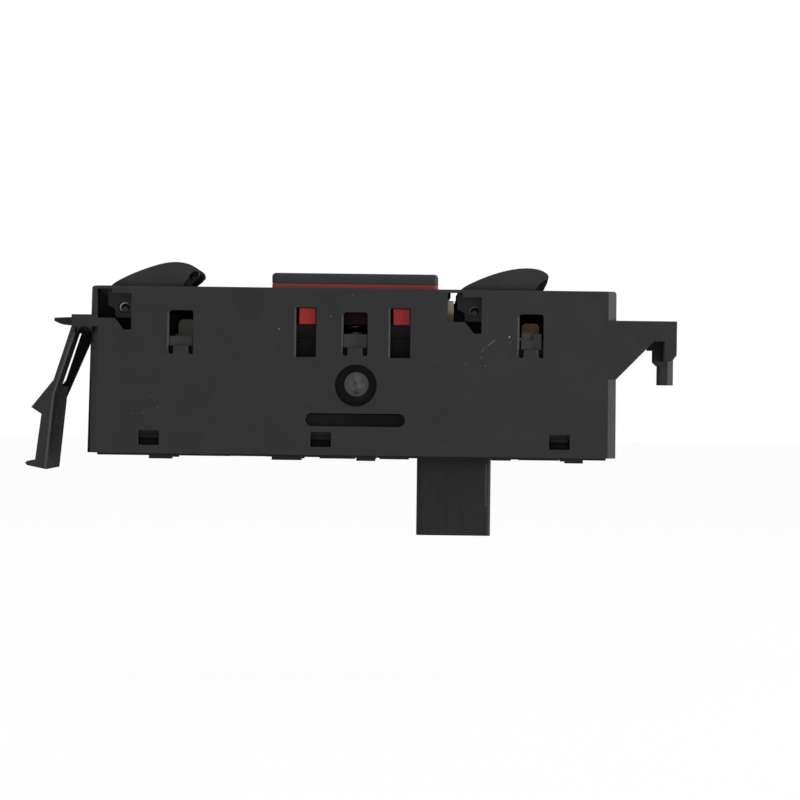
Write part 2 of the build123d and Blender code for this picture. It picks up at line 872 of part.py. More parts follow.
def pivot_towers(x):
    """Two walls inside a lever's cheeks, with the pivot bosses and the spring stub."""
    cheek_inner = lever_width / 2 - lever_cheek
    outer = cheek_inner - lever_side_gap
    inner = outer - tower_thickness
    side_view = Pos(x, pivot_z) * Circle(tower_radius)
    side_view += Pos(x, (pivot_z + plate_top) / 2) * Rectangle(2 * tower_radius, pivot_z - plate_top)
    side_view += outline((x - tower_rear, plate_top), (x, plate_top), (x, pivot_z + tower_rear_rise),
                         (x - tower_rear, pivot_z + tower_rear_rise))
    towers = both_sides(across(side_view, -outer, -inner))
    towers += both_sides(shaft(x, pivot_z, pivot_radius, -lever_width / 2 + pivot_recess, -inner))
    near, far = spring_y()
    towers += shaft(x, pivot_z, spring_stub_radius, near, outer)
    towers += block(x - spring_stub_radius, x + spring_stub_radius, near, far,
                    plate_top, plate_top + spring_peg_height)
    return towers


def guide_holder(x):
    """Two upright walls beside a light guide and a taller screen past its far end."""
    inner = guide_length / 2 + guide_collar + fit_gap
    half = guide_width / 2 + past
    wall_solid = block(x - inner - guide_holder_wall, x - inner, -half, half,
                       plate_top, plate_top + guide_holder_height)
    other = block(x + inner, x + inner + guide_holder_wall, -half, half,
                  plate_top, plate_top + guide_holder_height)
    screen = block(x - inner - guide_holder_wall - guide_screen_reach, x + inner + guide_holder_wall,
                   half - guide_screen_lap, half - guide_screen_lap + guide_holder_wall,
                   plate_top, plate_top + guide_screen_height)
    return wall_solid + other + screen


def button_rails():
    """Upright walls inside the button skirt, two at the near side and a long one at the far side."""
    face_y = lever_width / 2 - skirt_inset - button_wall - button_gap
    top = plate_top + button_rail_height
    rails = block(button_x - button_rail_end, button_x + button_rail_end,
                  face_y - button_rail_thickness, face_y, plate_top, top)
    for side in (-1, 1):
        ends = sorted((button_x + side * button_rail_start, button_x + side * button_rail_end))
        rails += block(ends[0], ends[1], -face_y, -face_y + button_rail_thickness, plate_top, top)
    return rails


def slider_rails(x):
    """Two rails under the plate that guide a slider and hold it down."""
    inner = slider_half_width + running_gap
    bottom = slider_bottom + slider_flange_height + running_gap
    rail = block(x - slider_behind - slider_travel, x + slider_ahead + slider_travel,
                 -inner - rail_thickness, -inner, bottom, plate_bottom)
    return both_sides(rail)


def make_button_cap():
    """The black top of the push button, a tray that sits over the lens."""
    top = rim_z + button_rise
    half_x = button_length / 2
    half_y = lever_width / 2
    bottom = top - button_cap_height
    cap = block(button_x - half_x, button_x + half_x, -half_y, half_y, bottom, top)
    cap = fillet(cap.edges().filter_by(Axis.Z), button_corner)
    cap = fillet(cap.faces().sort_by(Axis.Z)[-1].edges(), button_top_round)
    rim = button_wall
    return cap - block(button_x - half_x + rim, button_x + half_x - rim, -half_y + rim, half_y - rim,
                       bottom - past, bottom + button_cap_height / 2)


def make_button_lens():
    """The red skirt under the cap, with its guide tabs and the stem to the switch."""
    half_x = button_length / 2
    half_y = lever_width / 2
    top = rim_z + button_rise - button_cap_height
    bottom = rim_z - skirt_below_rim
    lens = block(button_x - half_x, button_x + half_x, -half_y, half_y, bottom, top - shadow_line)
    lens = fillet(lens.edges().filter_by(Axis.Z), button_corner)
    neck = shadow_line
    lens += block(button_x - half_x + neck, button_x + half_x - neck, -half_y + neck, half_y - neck,
                  top - 2 * shadow_line, top)
    island = button_wall + fit_gap
    lens += block(button_x - half_x + island, button_x + half_x - island, -half_y + island, half_y - island,
                  top - shadow_line, top + button_cap_height / 2 - fit_gap)
    skin = button_wall
    ceiling = top - skin
    lower_y = half_y - skirt_inset
    lens -= both_sides(block(button_x - half_x - past, button_x + half_x + past, -half_y - past, -lower_y,
                             bottom - past, rim_z - skirt_step_below_rim))
    lens -= block(button_x - half_x + skin, button_x + half_x - skin, -lower_y + skin, lower_y - skin,
                  bottom - past, ceiling)
    for side in (-1, 1):
        tab = block(tab_x(side) - tab_width / 2, tab_x(side) + tab_width / 2,
                    -outer_half + tab_setback, -lower_y + skin / 2, bottom, bottom + tab_height)
        lens += both_sides(tab)
    lens += post(button_x, 0, stem_radius, stem_end(), ceiling + join)
    grip = plunger_size + 2 * pin_fit
    return lens - block(button_x - grip / 2, button_x + grip / 2, -grip / 2, grip / 2,
                        stem_end() - past, stem_end() + plunger_grip)


def switch_top():
    """The top of the button's switch body."""
    return board_top + switch_height


def stem_end():
    """The lower end of the lens stem at rest."""
    return switch_top() + button_stroke + stem_gap


def plunger_bottom():
    """The lower end of the plunger at rest, a stroke above the switch's floor."""
    return board_top + switch_floor + button_stroke + running_gap


def make_switch_body():
    """The push switch on the board, hollow for its plunger."""
    half = switch_size / 2
    hole = plunger_size / 2 + plunger_play
    body = block(button_x - half, button_x + half, -half, half, board_top, switch_top())
    body = fillet(body.edges().filter_by(Axis.Z), switch_corner)
    return body - block(button_x - hole, button_x + hole, -hole, hole,
                        board_top + switch_floor, switch_top() + past)


def make_plunger():
    """The square plunger that the lens stem grips."""
    half = plunger_size / 2
    return block(button_x - half, button_x + half, -half, half, plunger_bottom(), stem_end() + plunger_grip)


def make_button_spring():
    """The coil spring between the carrier plate and the underside of the lens."""
    low = plate_top + coil_wire / 2
    high = rim_z + button_rise - button_cap_height - button_wall - coil_wire / 2
    helix = Helix((high - low) / coil_turns, high - low, coil_radius, center=(button_x, 0, low))
    section = Plane(origin=helix @ 0, z_dir=helix % 0) * Circle(coil_wire / 2)
    return sweep(section, path=helix, is_frenet=True)


def make_switch_terminals():
    """Six legs of the push switch, bent flat on the board."""
    legs = []
    half = switch_size / 2
    half_leg = terminal_width / 2
    for column in (-1, 0, 1):
        for side in (-1, 1):
            x = button_x + column * terminal_pitch
            ends = sorted((side * half, side * (half + terminal_reach)))
            legs.append(block(x - half_leg, x + half_leg, ends[0], ends[1],
                              board_top, board_top + terminal_thickness))
    return Compound(legs)


def pin_places():
    """The X and Y of every connector pin."""
    places = []
    for column in range(pin_columns):
        for row in range(pin_rows):
            x = shroud_x + (column - (pin_columns - 1) / 2) * pin_pitch
            y = (row - (pin_rows - 1) / 2) * 2 * pin_pitch
            places.append((x, y))
    return places


def header_half():
    """The half length and half width of the connector header."""
    return shroud_length / 2 - shroud_wall - fit_gap, shroud_width / 2 - shroud_wall - fit_gap


def pin_cutter(z0, z1, gap):
    """Square bars at every pin place, a gap larger than the pins."""
    bars = []
    half = pin_size / 2 + gap
    for x, y in pin_places():
        bars.append(block(x - half, x + half, y - half, y + half, z0, z1))
    return bars


def shroud_end():
    """The lower end of the connector shroud."""
    return floor_bottom - shroud_drop


def make_header():
    """The block that holds the pins and closes the top of the socket."""
    half_x, half_y = header_half()
    body = block(shroud_x - half_x, shroud_x + half_x, -half_y, half_y, floor_bottom, board_bottom)
    for bar in pin_cutter(floor_bottom - past, board_bottom + past, pin_fit):
        body -= bar
    return body


def make_pins():
    """The connector pins, from above the board down into the socket."""
    return Compound(pin_cutter(shroud_end() + pin_tip_inside, board_top + pin_above_board, 0))


def make_board():
    """The circuit board with its peg holes and pin holes."""
    left = end_x(-1, board_top) + wall + board_edge_gap
    right = end_x(1, board_top) - wall - board_edge_gap
    half = inner_half - board_edge_gap
    board = block(left, right, -half, half, board_bottom, board_top)
    for x in post_xs:
        for side in (-1, 1):
            board -= post(x, side * post_y, peg_radius + peg_gap, board_bottom - past, board_top + past)
    for bar in pin_cutter(board_bottom - past, board_top + past, pin_fit):
        board -= bar
    return board


def make_base_cover():
    """The floor with its snap tabs, board posts, edge pads and the connector shroud."""
    left = end_x(-1, floor_top) + wall + fit_gap
    right = end_x(1, floor_top) - wall - fit_gap
    half = inner_half - fit_gap
    cover = block(left, right, -half, half, floor_bottom, floor_top)
    half_x, half_y = shroud_length / 2, shroud_width / 2
    shroud = block(shroud_x - half_x, shroud_x + half_x, -half_y, half_y, shroud_end(), floor_top)
    shroud = fillet(shroud.edges().filter_by(Axis.Z), shroud_corner)
    cover += shroud
    cover -= block(shroud_x - half_x + shroud_wall, shroud_x + half_x - shroud_wall,
                   -half_y + shroud_wall, half_y - shroud_wall, shroud_end() - past, floor_top + past)
    key_low = shroud_end() + key_from_end
    cover += block(shroud_x - key_width / 2, shroud_x + key_width / 2, half_y - join / 2, half_y + key_reach,
                   key_low, key_low + key_height)
    for x in snap_xs:
        cover += both_sides(snap_tab(x))
    cover += slot_backing()
    for x in post_xs:
        for side in (-1, 1):
            cover += post(x, side * post_y, post_radius, floor_top, board_bottom)
    for x, length, drop in edge_pads():
        cover += both_sides(block(x - length / 2, x + length / 2, -half, -half + pad_inward,
                                  floor_bottom - drop, floor_bottom + join))
    recess_x = button_x - recess_from_button
    return cover - both_sides(block(recess_x - recess_length / 2, recess_x + recess_length / 2,
                                    -half - past, -half + pad_inward, floor_bottom - past, edge_z))


def edge_pads():
    """Middle, length and drop of the pads along both edges of the cover."""
    return [
        (-half_length + left_pad_inset, left_pad_length, pad_deep),
        (button_x - post_pad_offset, post_pad_length, pad_deep),
        (button_x - wide_pad_offset, wide_pad_length, pad_shallow),
        (button_x + key_pad_offset, key_pad_length, pad_deep),
        (button_x + slot_pad_offset, slot_pad_length, pad_shallow),
        (half_length - third_pad_inset, third_pad_length, pad_shallow),
        (half_length - long_pad_inset, long_pad_length, pad_shallow / 2),
        (half_length - end_pad_inset, end_pad_length, pad_deep),
    ]


def snap_tab(x):
    """A tab up from the floor, wider than its window, with a narrower nose that catches in it."""
    face_y = inner_half - fit_gap
    half = snap_window_width / 2 - tab_spare
    body_half = snap_window_width / 2 + tab_past_window
    window_low = edge_z + snap_window_above_edge
    nose_low = window_low + fit_gap
    nose_high = window_low + snap_window_height - tab_nose_step
    tab = block(x - body_half, x + body_half, -face_y, -face_y + tab_thickness,
                floor_top - join, window_low + snap_window_height + tab_past_window)
    side_view = make_face(Polyline(
        (-face_y + join, nose_low),
        (-face_y - snap_nose_reach, nose_low),
        (-face_y - snap_nose_reach, nose_low + tab_nose_step),
        (-face_y, nose_high),
        (-face_y + join, nose_high),
        close=True,
    ))
    return tab + Pos(x - half, 0, 0) * extrude(Plane.YZ * side_view, amount=2 * half)


def slot_backing():
    """A low wall on the floor behind the long slot, which closes the slot against dust."""
    face_y = inner_half - fit_gap
    half = long_slot_length / 2 + tab_past_window
    return block(long_slot_x - half, long_slot_x + half, -face_y, -face_y + tab_thickness,
                 floor_top - join, board_bottom - fit_gap)


def make_lamps(xs):
    """Small light emitting diodes on the board, one solid each."""
    lamps = []
    half = lamp_size / 2
    for x, y in xs:
        base = block(x - half, x + half, y - half * 0.7, y + half * 0.7, board_top, board_top + lamp_height * 0.6)
        dome = post(x, y, half * 0.6, board_top + lamp_height * 0.5, board_top + lamp_height)
        lamps.append(base + dome)
    return lamps


def chip_parts(places, size):
    """Small board parts of one size, one solid each."""
    length, width, height = size
    return Compound([
        block(x - length / 2, x + length / 2, y - width / 2, y + width / 2, board_top, board_top + height)
        for x, y in places
    ])


def make_control_chip():
    """The control chip on the board, with its row of legs on each side."""
    x = button_x - chip_from_button
    length, width, height = chip_size
    low = board_top + chip_clearance
    body = block(x - length / 2, x + length / 2, -width / 2, width / 2, low, low + height)
    for column in range(chip_legs):
        leg_x = x + (column - (chip_legs - 1) / 2) * chip_leg_pitch
        leg = block(leg_x - chip_leg_width / 2, leg_x + chip_leg_width / 2, -width / 2 - chip_leg_reach,
                    -width / 2 + chip_clearance, board_top, board_top + chip_leg_width)
        body += both_sides(leg)
    return body


os.makedirs("parts", exist_ok=True)

resistor_places = [(button_x + resistor_from_button, -resistor_row_start + resistor_pitch * step)
                   for step in range(resistor_count)]
capacitor_places = [(button_x - capacitor_from_button + capacitor_pitch * step, -capacitor_row_y)
                    for step in range(capacitor_count)]
button_lamp_places = [(button_x - left_strip_lamp, strip_lamp_y), (button_x + right_strip_lamp, strip_lamp_y)]

parts = {
    "housing": make_housing(),
    "base_cover": make_base_cover(),
    "switch_carrier": make_carrier(),
    "left_lever": make_lever(left_pivot_x, left_lever_back, left_lever_nose, left_undercut_bow),
    "right_lever": make_lever(right_pivot_x, lever_back, lever_nose, undercut_bow),
    "left_slider": make_slider(left_pivot_x),
    "right_slider": make_slider(right_pivot_x),
    "left_wiper": make_wiper(left_pivot_x),
    "right_wiper": make_wiper(right_pivot_x),
    "left_return_spring": make_return_spring(left_pivot_x),
    "right_return_spring": make_return_spring(right_pivot_x),
    "button_cap": make_button_cap(),
    "button_lens": make_button_lens(),
    "button_spring": make_button_spring(),
    "switch_body": make_switch_body(),
    "switch_plunger": make_plunger(),
    "switch_terminals": make_switch_terminals(),
    "circuit_board": make_board(),
    "contact_pads": make_contact_pads(),
    "connector_header": make_header(),
    "connector_pins": make_pins(),
    "left_light_guide": make_light_guide(guide_xs()[0]),
    "right_light_guide": make_light_guide(guide_xs()[1]),
    "strip_light_guide": make_strip_guide(),
    "left_lamp": Compound(make_lamps([(guide_xs()[0], 0)])),
    "right_lamp": Compound(make_lamps([(guide_xs()[1], 0)])),
    "button_lamps": Compound(make_lamps(button_lamp_places)),
    "resistors": chip_parts(resistor_places, resistor_size),
    "capacitors": chip_parts(capacitor_places, capacitor_size),
    "control_chip": make_control_chip(),
}

for name, shape in parts.items():
    export_step(shape, "parts/" + name + ".step")

print("finger reach", round(finger_reach, 3), "slider travel", round(slider_travel, 3))
print("pivots", round(left_pivot_x, 3), round(right_pivot_x, 3), "height", round(pivot_z, 3))
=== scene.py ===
"""Looks for a console window switch module: moulded shell, levers, push button and its inner parts."""

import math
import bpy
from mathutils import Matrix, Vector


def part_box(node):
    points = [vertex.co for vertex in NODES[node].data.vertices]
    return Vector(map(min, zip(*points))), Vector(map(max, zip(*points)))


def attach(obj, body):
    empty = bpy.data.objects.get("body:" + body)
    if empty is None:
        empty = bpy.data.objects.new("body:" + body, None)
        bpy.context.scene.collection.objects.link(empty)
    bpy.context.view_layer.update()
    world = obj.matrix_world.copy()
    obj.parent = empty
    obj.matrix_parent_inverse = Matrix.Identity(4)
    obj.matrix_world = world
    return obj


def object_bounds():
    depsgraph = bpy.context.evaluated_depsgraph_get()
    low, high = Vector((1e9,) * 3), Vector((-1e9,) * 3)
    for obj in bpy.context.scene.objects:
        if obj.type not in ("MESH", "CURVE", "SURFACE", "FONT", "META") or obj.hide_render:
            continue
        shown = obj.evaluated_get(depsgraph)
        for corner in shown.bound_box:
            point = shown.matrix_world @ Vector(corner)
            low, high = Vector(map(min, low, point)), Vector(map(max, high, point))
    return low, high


bl_info = {
    "name": "Window Switch Looks",
    "version": (1, 0, 0),
    "blender": (4, 5, 0),
    "location": "View3D > Sidebar > Switch",
    "description": "Gives the window switch module its finishes, its gate mark and a plain stage",
    "category": "Object",
}

import bpy
import numpy as np
from bpy.props import FloatProperty, FloatVectorProperty, PointerProperty
from bpy.types import Operator, Panel, PropertyGroup
from mathutils import Matrix, Vector

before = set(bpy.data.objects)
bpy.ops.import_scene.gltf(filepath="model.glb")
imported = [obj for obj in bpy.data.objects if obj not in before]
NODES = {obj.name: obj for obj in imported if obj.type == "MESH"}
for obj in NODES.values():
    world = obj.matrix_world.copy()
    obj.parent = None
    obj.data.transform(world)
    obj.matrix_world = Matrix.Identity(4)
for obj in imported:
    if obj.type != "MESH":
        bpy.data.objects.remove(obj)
CAD_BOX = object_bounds()
HOUSING_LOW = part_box("housing")[0]

MM = 0.001
# How round_point scales each axis: a ball, or a rod along Y.
BALL = (1.0, 1.0, 1.0)
ROD = (1.0, 0.0, 1.0)

# The places and sizes from here to the gate stub's are in millimetres.
# The photographed wall, and the disc of the moulding gate that lies a little behind it in a ring.
FACE_Y = -13.0
GATE_Y = -12.7
RING_MIDDLE = (0.525, GATE_Y, -13.85)
DISC_MIDDLE = (0.675, GATE_Y, -13.6)
# Where the camera's axis meets the photographed wall.
VIEW_X, VIEW_Z = 9.58, -16.7

# Places with a tone of their own, or with painted shade or a painted highlight, as the two corners of a box.
# First the housing.
SHADED_SHELL_INSIDE = ((-52.8, -11.3, -28.2), (53.0, 11.3, 5.5))
SHADED_ARM_INSIDE = ((-72.0, -12.5, -50.0), (-53.75, 12.8, -2.5))
SHADED_MIDDLE_REVEALS = ((-13.0, -11.9, -9.0), (13.0, 11.9, -3.9))
SHADED_ARM_ROOT = ((-56.2, -13.5, -4.8), (-54.0, 12.8, -3.6))
HIGHLIT_END_CHAMFER = ((51.8, -13.5, -0.2), (54.0, 13.5, 6.0))
SCRATCH = ((27.05, -13.2, -4.9), (29.05, -12.9, -4.8))
# The base cover: its low wall behind the long slot in painted shade, its snap noses with a painted highlight
# and painted shadow below them, and a painted highlight line on the shroud.
SHADED_SLOT_WALL = ((-10.5, -12.6, -23.0), (20.5, 12.6, -17.0))
HIGHLIT_SNAP_NOSES = ((-60.0, -13.0, -24.95), (60.0, 13.0, -23.0))
SHADOW_UNDER_NOSES = ((-60.0, -13.0, -26.6), (60.0, 13.0, -25.0))
SHROUD_HIGHLIGHT_LINE = ((27.4, -13.5, -38.3), (27.6, -5.0, -29.8))
# The carrier: painted shade deep inside, painted light on the rails of the button and painted shade on the
# feet of the two tab slots.
SHADED_CARRIER_INSIDE = ((-60.0, -9.6, -30.0), (60.0, 9.6, 10.0))
LIT_BUTTON_RAILS = ((-14.0, -10.5, -5.0), (14.0, 10.5, 3.0))
SHADED_LEFT_SLOT_FOOT = ((-13.0, -12.4, -9.5), (-6.0, 12.4, -4.15))
SHADED_RIGHT_SLOT_FOOT = ((6.0, -12.4, -9.5), (13.0, 12.4, -4.15))
# The levers: painted shade in the cut under each nose.
SHADED_LEFT_NOSE_CUT = ((-35.6, -10.5, 4.0), (-31.0, 10.5, 9.9))
SHADED_RIGHT_NOSE_CUT = ((36.6, -10.5, 4.0), (40.6, 10.5, 8.6))
# The lens with painted shade inside it, and the light guides.
SHADED_LENS_INSIDE = ((-20.0, -11.2, -20.0), (20.0, 11.2, 4.9))
LENS_BAND = ((-20.0, -12.0, 5.5), (20.0, 12.0, 9.0))
GUIDE_CORNER = ((33.5, -13.0, -7.0), (35.6, 13.0, -3.3))
STRIP_TOP = ((10.0, -13.0, 1.8), (30.0, 13.0, 9.0))

# Soft patches on the gate's disc: across, up, reach and colour. A reach below 0 makes a patch faint.
DISC_PATCHES = (
    (0.9, -12.4, 0.2, "#525355"),
    (1.7, -13.9, 0.1, "#505153"),
    (-0.4, -13.7, 0.1, "#4e4f51"),
    (0.6, -15.3, 0.1, "#343435"),
    (0.5, -13.5, -0.4, "#1c1c1c"),
    (1.6, -13.0, -0.5, "#2c2c2c"),
    (1.1, -14.1, -0.5, "#77787a"),
    (0.1, -14.5, -0.5, "#67686a"),
)
# Specks on the photographed wall: across, up, reach and colour.
WALL_SPECKS = (
    (31.74, -3.6, 0.08, "#b4b4b4"),
    (31.9, -4.7, 0.03, "#6c6c6c"),
    (26.6, -5.9, 0.04, "#7a7a7a"),
    (-15.26, -2.53, 0.05, "#a0a0a0"),
    (-4.73, 0.17, 0.1, "#5e6468"),
    (-0.37, 4.6, 0.03, "#7c7c7c"),
)
# Where dust has settled on the photographed wall: a point, its reach and the specks' radius.
DUST = (
    ((28.5, FACE_Y, -5.5), 3.5, 0.14),
    ((26.5, FACE_Y, -9.5), 2.5, 0.1),
    ((-42.0, FACE_Y, -18.0), 3.0, 0.1),
)
DUST_TONE = "#7d7c78"
# The pivot bosses: how high they are, and for each its place across and the colour of the painted highlight
# on its rim.
BOSS_Z = 1.6
BOSSES = ((-46.975, "#c9c9c9"), (24.475, "#6e6e6e"))
# The row of capacitors, and how far the bodies of a capacitor and of the chip reach from their middles.
CAPACITOR_ROW_Y = -3.5
CAPACITOR_HALF = 0.42
CHIP_HALF = 1.96
# The torn gate stub: its mean radius, its height, half the width of its groove and how deep it is sunk.
STUB_REACH = 0.62
STUB_HEIGHT = 0.16
STUB_GROOVE = 0.12
STUB_SUNK = 0.1
# The edges of the levers and of the cap are this many times as round as the others.
LEVER_EDGES = 3.0

# The soft boxes: name, place, height and width in metres, and watts. They all aim at one point.
LAMPS = (
    ("side_box", (0.8, -0.12, -0.015), (0.1, 0.1), 11.0),
    ("top_box", (0.1, -0.04, 0.8), (0.4, 0.4), 2.0),
    ("left_box", (-0.8, -0.2, 0.1), (0.4, 0.4), 2.5),
)
LAMP_AIM = (0.0, 0.0, -0.015)
# The floor: half its width in metres, and the share of plain white that the camera sees in it.
FLOOR_HALF = 4.0
FLOOR_WHITE = 0.95


def linear(code):
    """An sRGB colour written #rrggbb, as linear red, green, blue and full alpha."""
    parts = [int(code[i : i + 2], 16) / 255 for i in (1, 3, 5)]
    return tuple(c / 12.92 if c <= 0.04045 else ((c + 0.055) / 1.055) ** 2.4 for c in parts) + (1.0,)


def times(share, colour):
    """A colour with its red, green and blue times a share."""
    return tuple(share * c for c in colour[:3]) + (1.0,)


def per_size(size_mm):
    """The texture scale whose cells are this many millimetres wide."""
    return 1 / (size_mm * MM)


def add(tree, kind, settings=None, inputs=None):
    """Adds one shader node: settings go to its attributes, inputs to its sockets as values or links."""
    node = tree.nodes.new("ShaderNode" + kind)
    for name, value in (settings or {}).items():
        setattr(node, name, value)
    for name, value in (inputs or {}).items():
        socket = node.inputs[name]
        if isinstance(value, bpy.types.NodeSocket):
            tree.links.new(value, socket)
        else:
            socket.default_value = value
    return node


def start_material(name):
    """An empty material with its output and Object coordinates."""
    material = bpy.data.materials.new(name)
    material.use_nodes = True
    tree = material.node_tree
    tree.nodes.clear()
    output = add(tree, "OutputMaterial")
    place = add(tree, "TexCoord").outputs["Object"]
    return material, tree, output, place


def spots(tree, place, cell_mm, radius_mm, share, where):
    """Small round specks of a share from 0 to 1, at the cell points of a Voronoi, where a region is 1."""
    cells = add(tree, "TexVoronoi", {}, {"Vector": place, "Scale": per_size(cell_mm), "Randomness": 1.0})
    reach = radius_mm / cell_mm
    speck = add(tree, "MapRange", {}, {
        "Value": cells.outputs["Distance"], "From Min": reach, "From Max": reach * 0.5,
        "To Min": 0.0, "To Max": share})
    return add(tree, "Math", {"operation": "MULTIPLY"}, {
        0: speck.outputs["Result"], 1: where.outputs["Result"]})


def in_box(tree, place, low, high, soft, turn=0.0):
    """1 inside a box whose corners are in millimetres, falling to 0 over a border of the soft width.

    The turn, in degrees, leans the box about its middle in the plane of the long walls.
    """
    middle = tuple((a + b) / 2 * MM for a, b in zip(low, high))
    half = tuple((b - a) / 2 * MM for a, b in zip(low, high))
    away = add(tree, "VectorMath", {"operation": "SUBTRACT"}, {0: place, 1: middle})
    if turn:
        away = add(tree, "Mapping", {}, {
            "Vector": away.outputs["Vector"], "Rotation": (0.0, math.radians(turn), 0.0)})
    size = add(tree, "VectorMath", {"operation": "ABSOLUTE"}, {0: away.outputs["Vector"]})
    past = add(tree, "VectorMath", {"operation": "SUBTRACT"}, {0: size.outputs["Vector"], 1: half})
    axes = add(tree, "SeparateXYZ", {}, {"Vector": past.outputs["Vector"]})
    most = add(tree, "Math", {"operation": "MAXIMUM"}, {0: axes.outputs["X"], 1: axes.outputs["Y"]})
    most = add(tree, "Math", {"operation": "MAXIMUM"}, {0: most.outputs["Value"], 1: axes.outputs["Z"]})
    return add(tree, "MapRange", {"interpolation_type": "SMOOTHSTEP"}, {
        "Value": most.outputs["Value"], "From Min": soft * MM, "From Max": 0.0,
        "To Min": 0.0, "To Max": 1.0})


def round_point(tree, place, point, squeeze, reach, soft):
    """1 within a reach of a point in millimetres, falling to 0 over the soft width.

    The squeeze scales each axis, as BALL and ROD do.
    """
    away = add(tree, "VectorMath", {"operation": "SUBTRACT"}, {0: place, 1: tuple(c * MM for c in point)})
    drawn = add(tree, "VectorMath", {"operation": "MULTIPLY"}, {0: away.outputs["Vector"], 1: squeeze})
    far = add(tree, "VectorMath", {"operation": "LENGTH"}, {0: drawn.outputs["Vector"]})
    return add(tree, "MapRange", {"interpolation_type": "SMOOTHSTEP"}, {
        "Value": far.outputs["Value"], "From Min": (reach + soft) * MM, "From Max": reach * MM,
        "To Min": 0.0, "To Max": 1.0})


def lay(tree, place, shade, layers):
    """The shade after each layer has laid its colour over the last one.

    A layer is a region function, what it takes after the place, and a colour code.
    """
    for region, sizes, code in layers:
        share = region(tree, place, *sizes)
        shade = add(tree, "Mix", {"data_type": "RGBA"}, {
            "Factor": share.outputs["Result"], 6: shade, 7: linear(code)}).outputs[2]
    return shade


def shell_layers():
    """The housing's tones: painted shade inside, on the clip arm and in the gate ring, the ring's disc, a
    painted highlight on the end chamfer, and marks on the photographed wall.
    """
    return (
        # Painted shade inside the housing, on the inner face of the clip arm and in the reveals of the
        # middle window.
        (in_box, (*SHADED_SHELL_INSIDE, 0.2), "#131314"),
        (in_box, (*SHADED_ARM_INSIDE, 0.2), "#131314"),
        (in_box, (*SHADED_MIDDLE_REVEALS, 0.1), "#161617"),
        # The ring, darkened as painted shade in its groove, with a paler patch at its lower right, then the
        # disc and what is on it.
        (round_point, (RING_MIDDLE, BALL, 4.25, 0.1), "#212320"),
        (round_point, ((1.5, GATE_Y, -15.2), BALL, 0.9, 1.5), "#2c2d2a"),
        (round_point, (DISC_MIDDLE, BALL, 2.45, 0.1), "#454547"),
        *((round_point, ((x, GATE_Y, z), BALL, reach, 0.9), code) for x, z, reach, code in DISC_PATCHES),
        # A brownish mark at the top of the ring, twice as wide as it is high.
        (round_point, ((0.9, GATE_Y, -10.2), (0.5, 1.0, 1.0), 0.2, 0.4), "#38362d"),
        # Painted shade at the root of the clip arm and a painted highlight on the chamfer at the bracket
        # end.
        (in_box, (*SHADED_ARM_ROOT, 1.4), "#151516"),
        (in_box, (*HIGHLIT_END_CHAMFER, 0.05), "#3b3b3c"),
        # The scratch rises to the right at 42 degrees.
        (in_box, (*SCRATCH, 0.06, 42.0), "#5f6062"),
        *((round_point, ((x, FACE_Y, z), BALL, reach, 0.1), code) for x, z, reach, code in WALL_SPECKS),
    )


def carrier_layers():
    """The carrier's tones: painted shade inside and on the slot feet, painted light on the rails, and two
    pivot bosses seen end on with a painted highlight and shade.
    """
    bosses = []
    for x, rim_highlight in BOSSES:
        # A painted highlight on the rim, painted shade in the step inside it and a grey middle, each a
        # little off the boss's axis.
        bosses += (
            (round_point, ((x - 0.12, 0.0, BOSS_Z + 0.18), ROD, 1.0, 0.1), rim_highlight),
            (round_point, ((x + 0.16, 0.0, BOSS_Z - 0.12), ROD, 0.86, 0.12), "#0b0b0c"),
            (round_point, ((x + 0.1, 0.0, BOSS_Z - 0.5), ROD, 0.5, 0.25), "#454546"),
        )
    return (
        # Painted shade deep inside and on the feet of the tab slots, and painted light on the button's
        # rails.
        (in_box, (*SHADED_CARRIER_INSIDE, 0.5), "#101011"),
        (in_box, (*LIT_BUTTON_RAILS, 0.3), "#4c4d4f"),
        (in_box, (*SHADED_LEFT_SLOT_FOOT, 0.1), "#151516"),
        (in_box, (*SHADED_RIGHT_SLOT_FOOT, 0.1), "#151516"),
        *bosses,
    )


def moulded(name, colour, pale, grain_mm, grain_depth, roughness, gloss, edge, worn=0.0, layers=()):
    """Injection moulded plastic: a fine grain, soft mottling, rounded edges, layers of tone, painted shade
    and painted highlight, and dust.
    """
    material, tree, output, place = start_material(name)
    mottle = add(tree, "TexNoise", {}, {
        "Vector": place, "Scale": per_size(7.0), "Detail": 4.0, "Roughness": 0.6})
    share = add(tree, "MapRange", {}, {
        "Value": mottle.outputs["Fac"], "From Min": 0.35, "From Max": 0.65, "To Min": 0.0, "To Max": 1.0})
    base = add(tree, "Mix", {"data_type": "RGBA"}, {"Factor": share.outputs["Result"], 6: colour, 7: pale})
    shade = lay(tree, place, base.outputs[2], layers)
    # Dust thins out over 3 mm round each of its places, with one speck to a cell 12 radii wide.
    for middle, reach, size_mm in DUST if worn > 0 else ():
        where = round_point(tree, place, middle, BALL, reach, 3.0)
        dust = spots(tree, place, 12 * size_mm, size_mm, worn, where)
        shade = add(tree, "Mix", {"data_type": "RGBA"}, {
            "Factor": dust.outputs["Value"], 6: shade, 7: linear(DUST_TONE)}).outputs[2]
    grain = add(tree, "TexNoise", {}, {"Vector": place, "Scale": per_size(grain_mm), "Detail": 2.0})
    rough = add(tree, "MapRange", {}, {
        "Value": mottle.outputs["Fac"], "From Min": 0.3, "From Max": 0.7,
        "To Min": roughness - 0.05, "To Max": roughness + 0.06})
    round_edge = add(tree, "Bevel", {"samples": 6}, {"Radius": edge})
    bump = add(tree, "Bump", {}, {
        "Strength": 0.6, "Distance": grain_depth * MM, "Height": grain.outputs["Fac"],
        "Normal": round_edge.outputs["Normal"]})
    skin = add(tree, "BsdfPrincipled", {}, {
        "Base Color": shade, "Roughness": rough.outputs["Result"], "IOR": 1.53,
        "Specular IOR Level": gloss, "Normal": bump.outputs["Normal"]})
    tree.links.new(skin.outputs["BSDF"], output.inputs["Surface"])
    return material


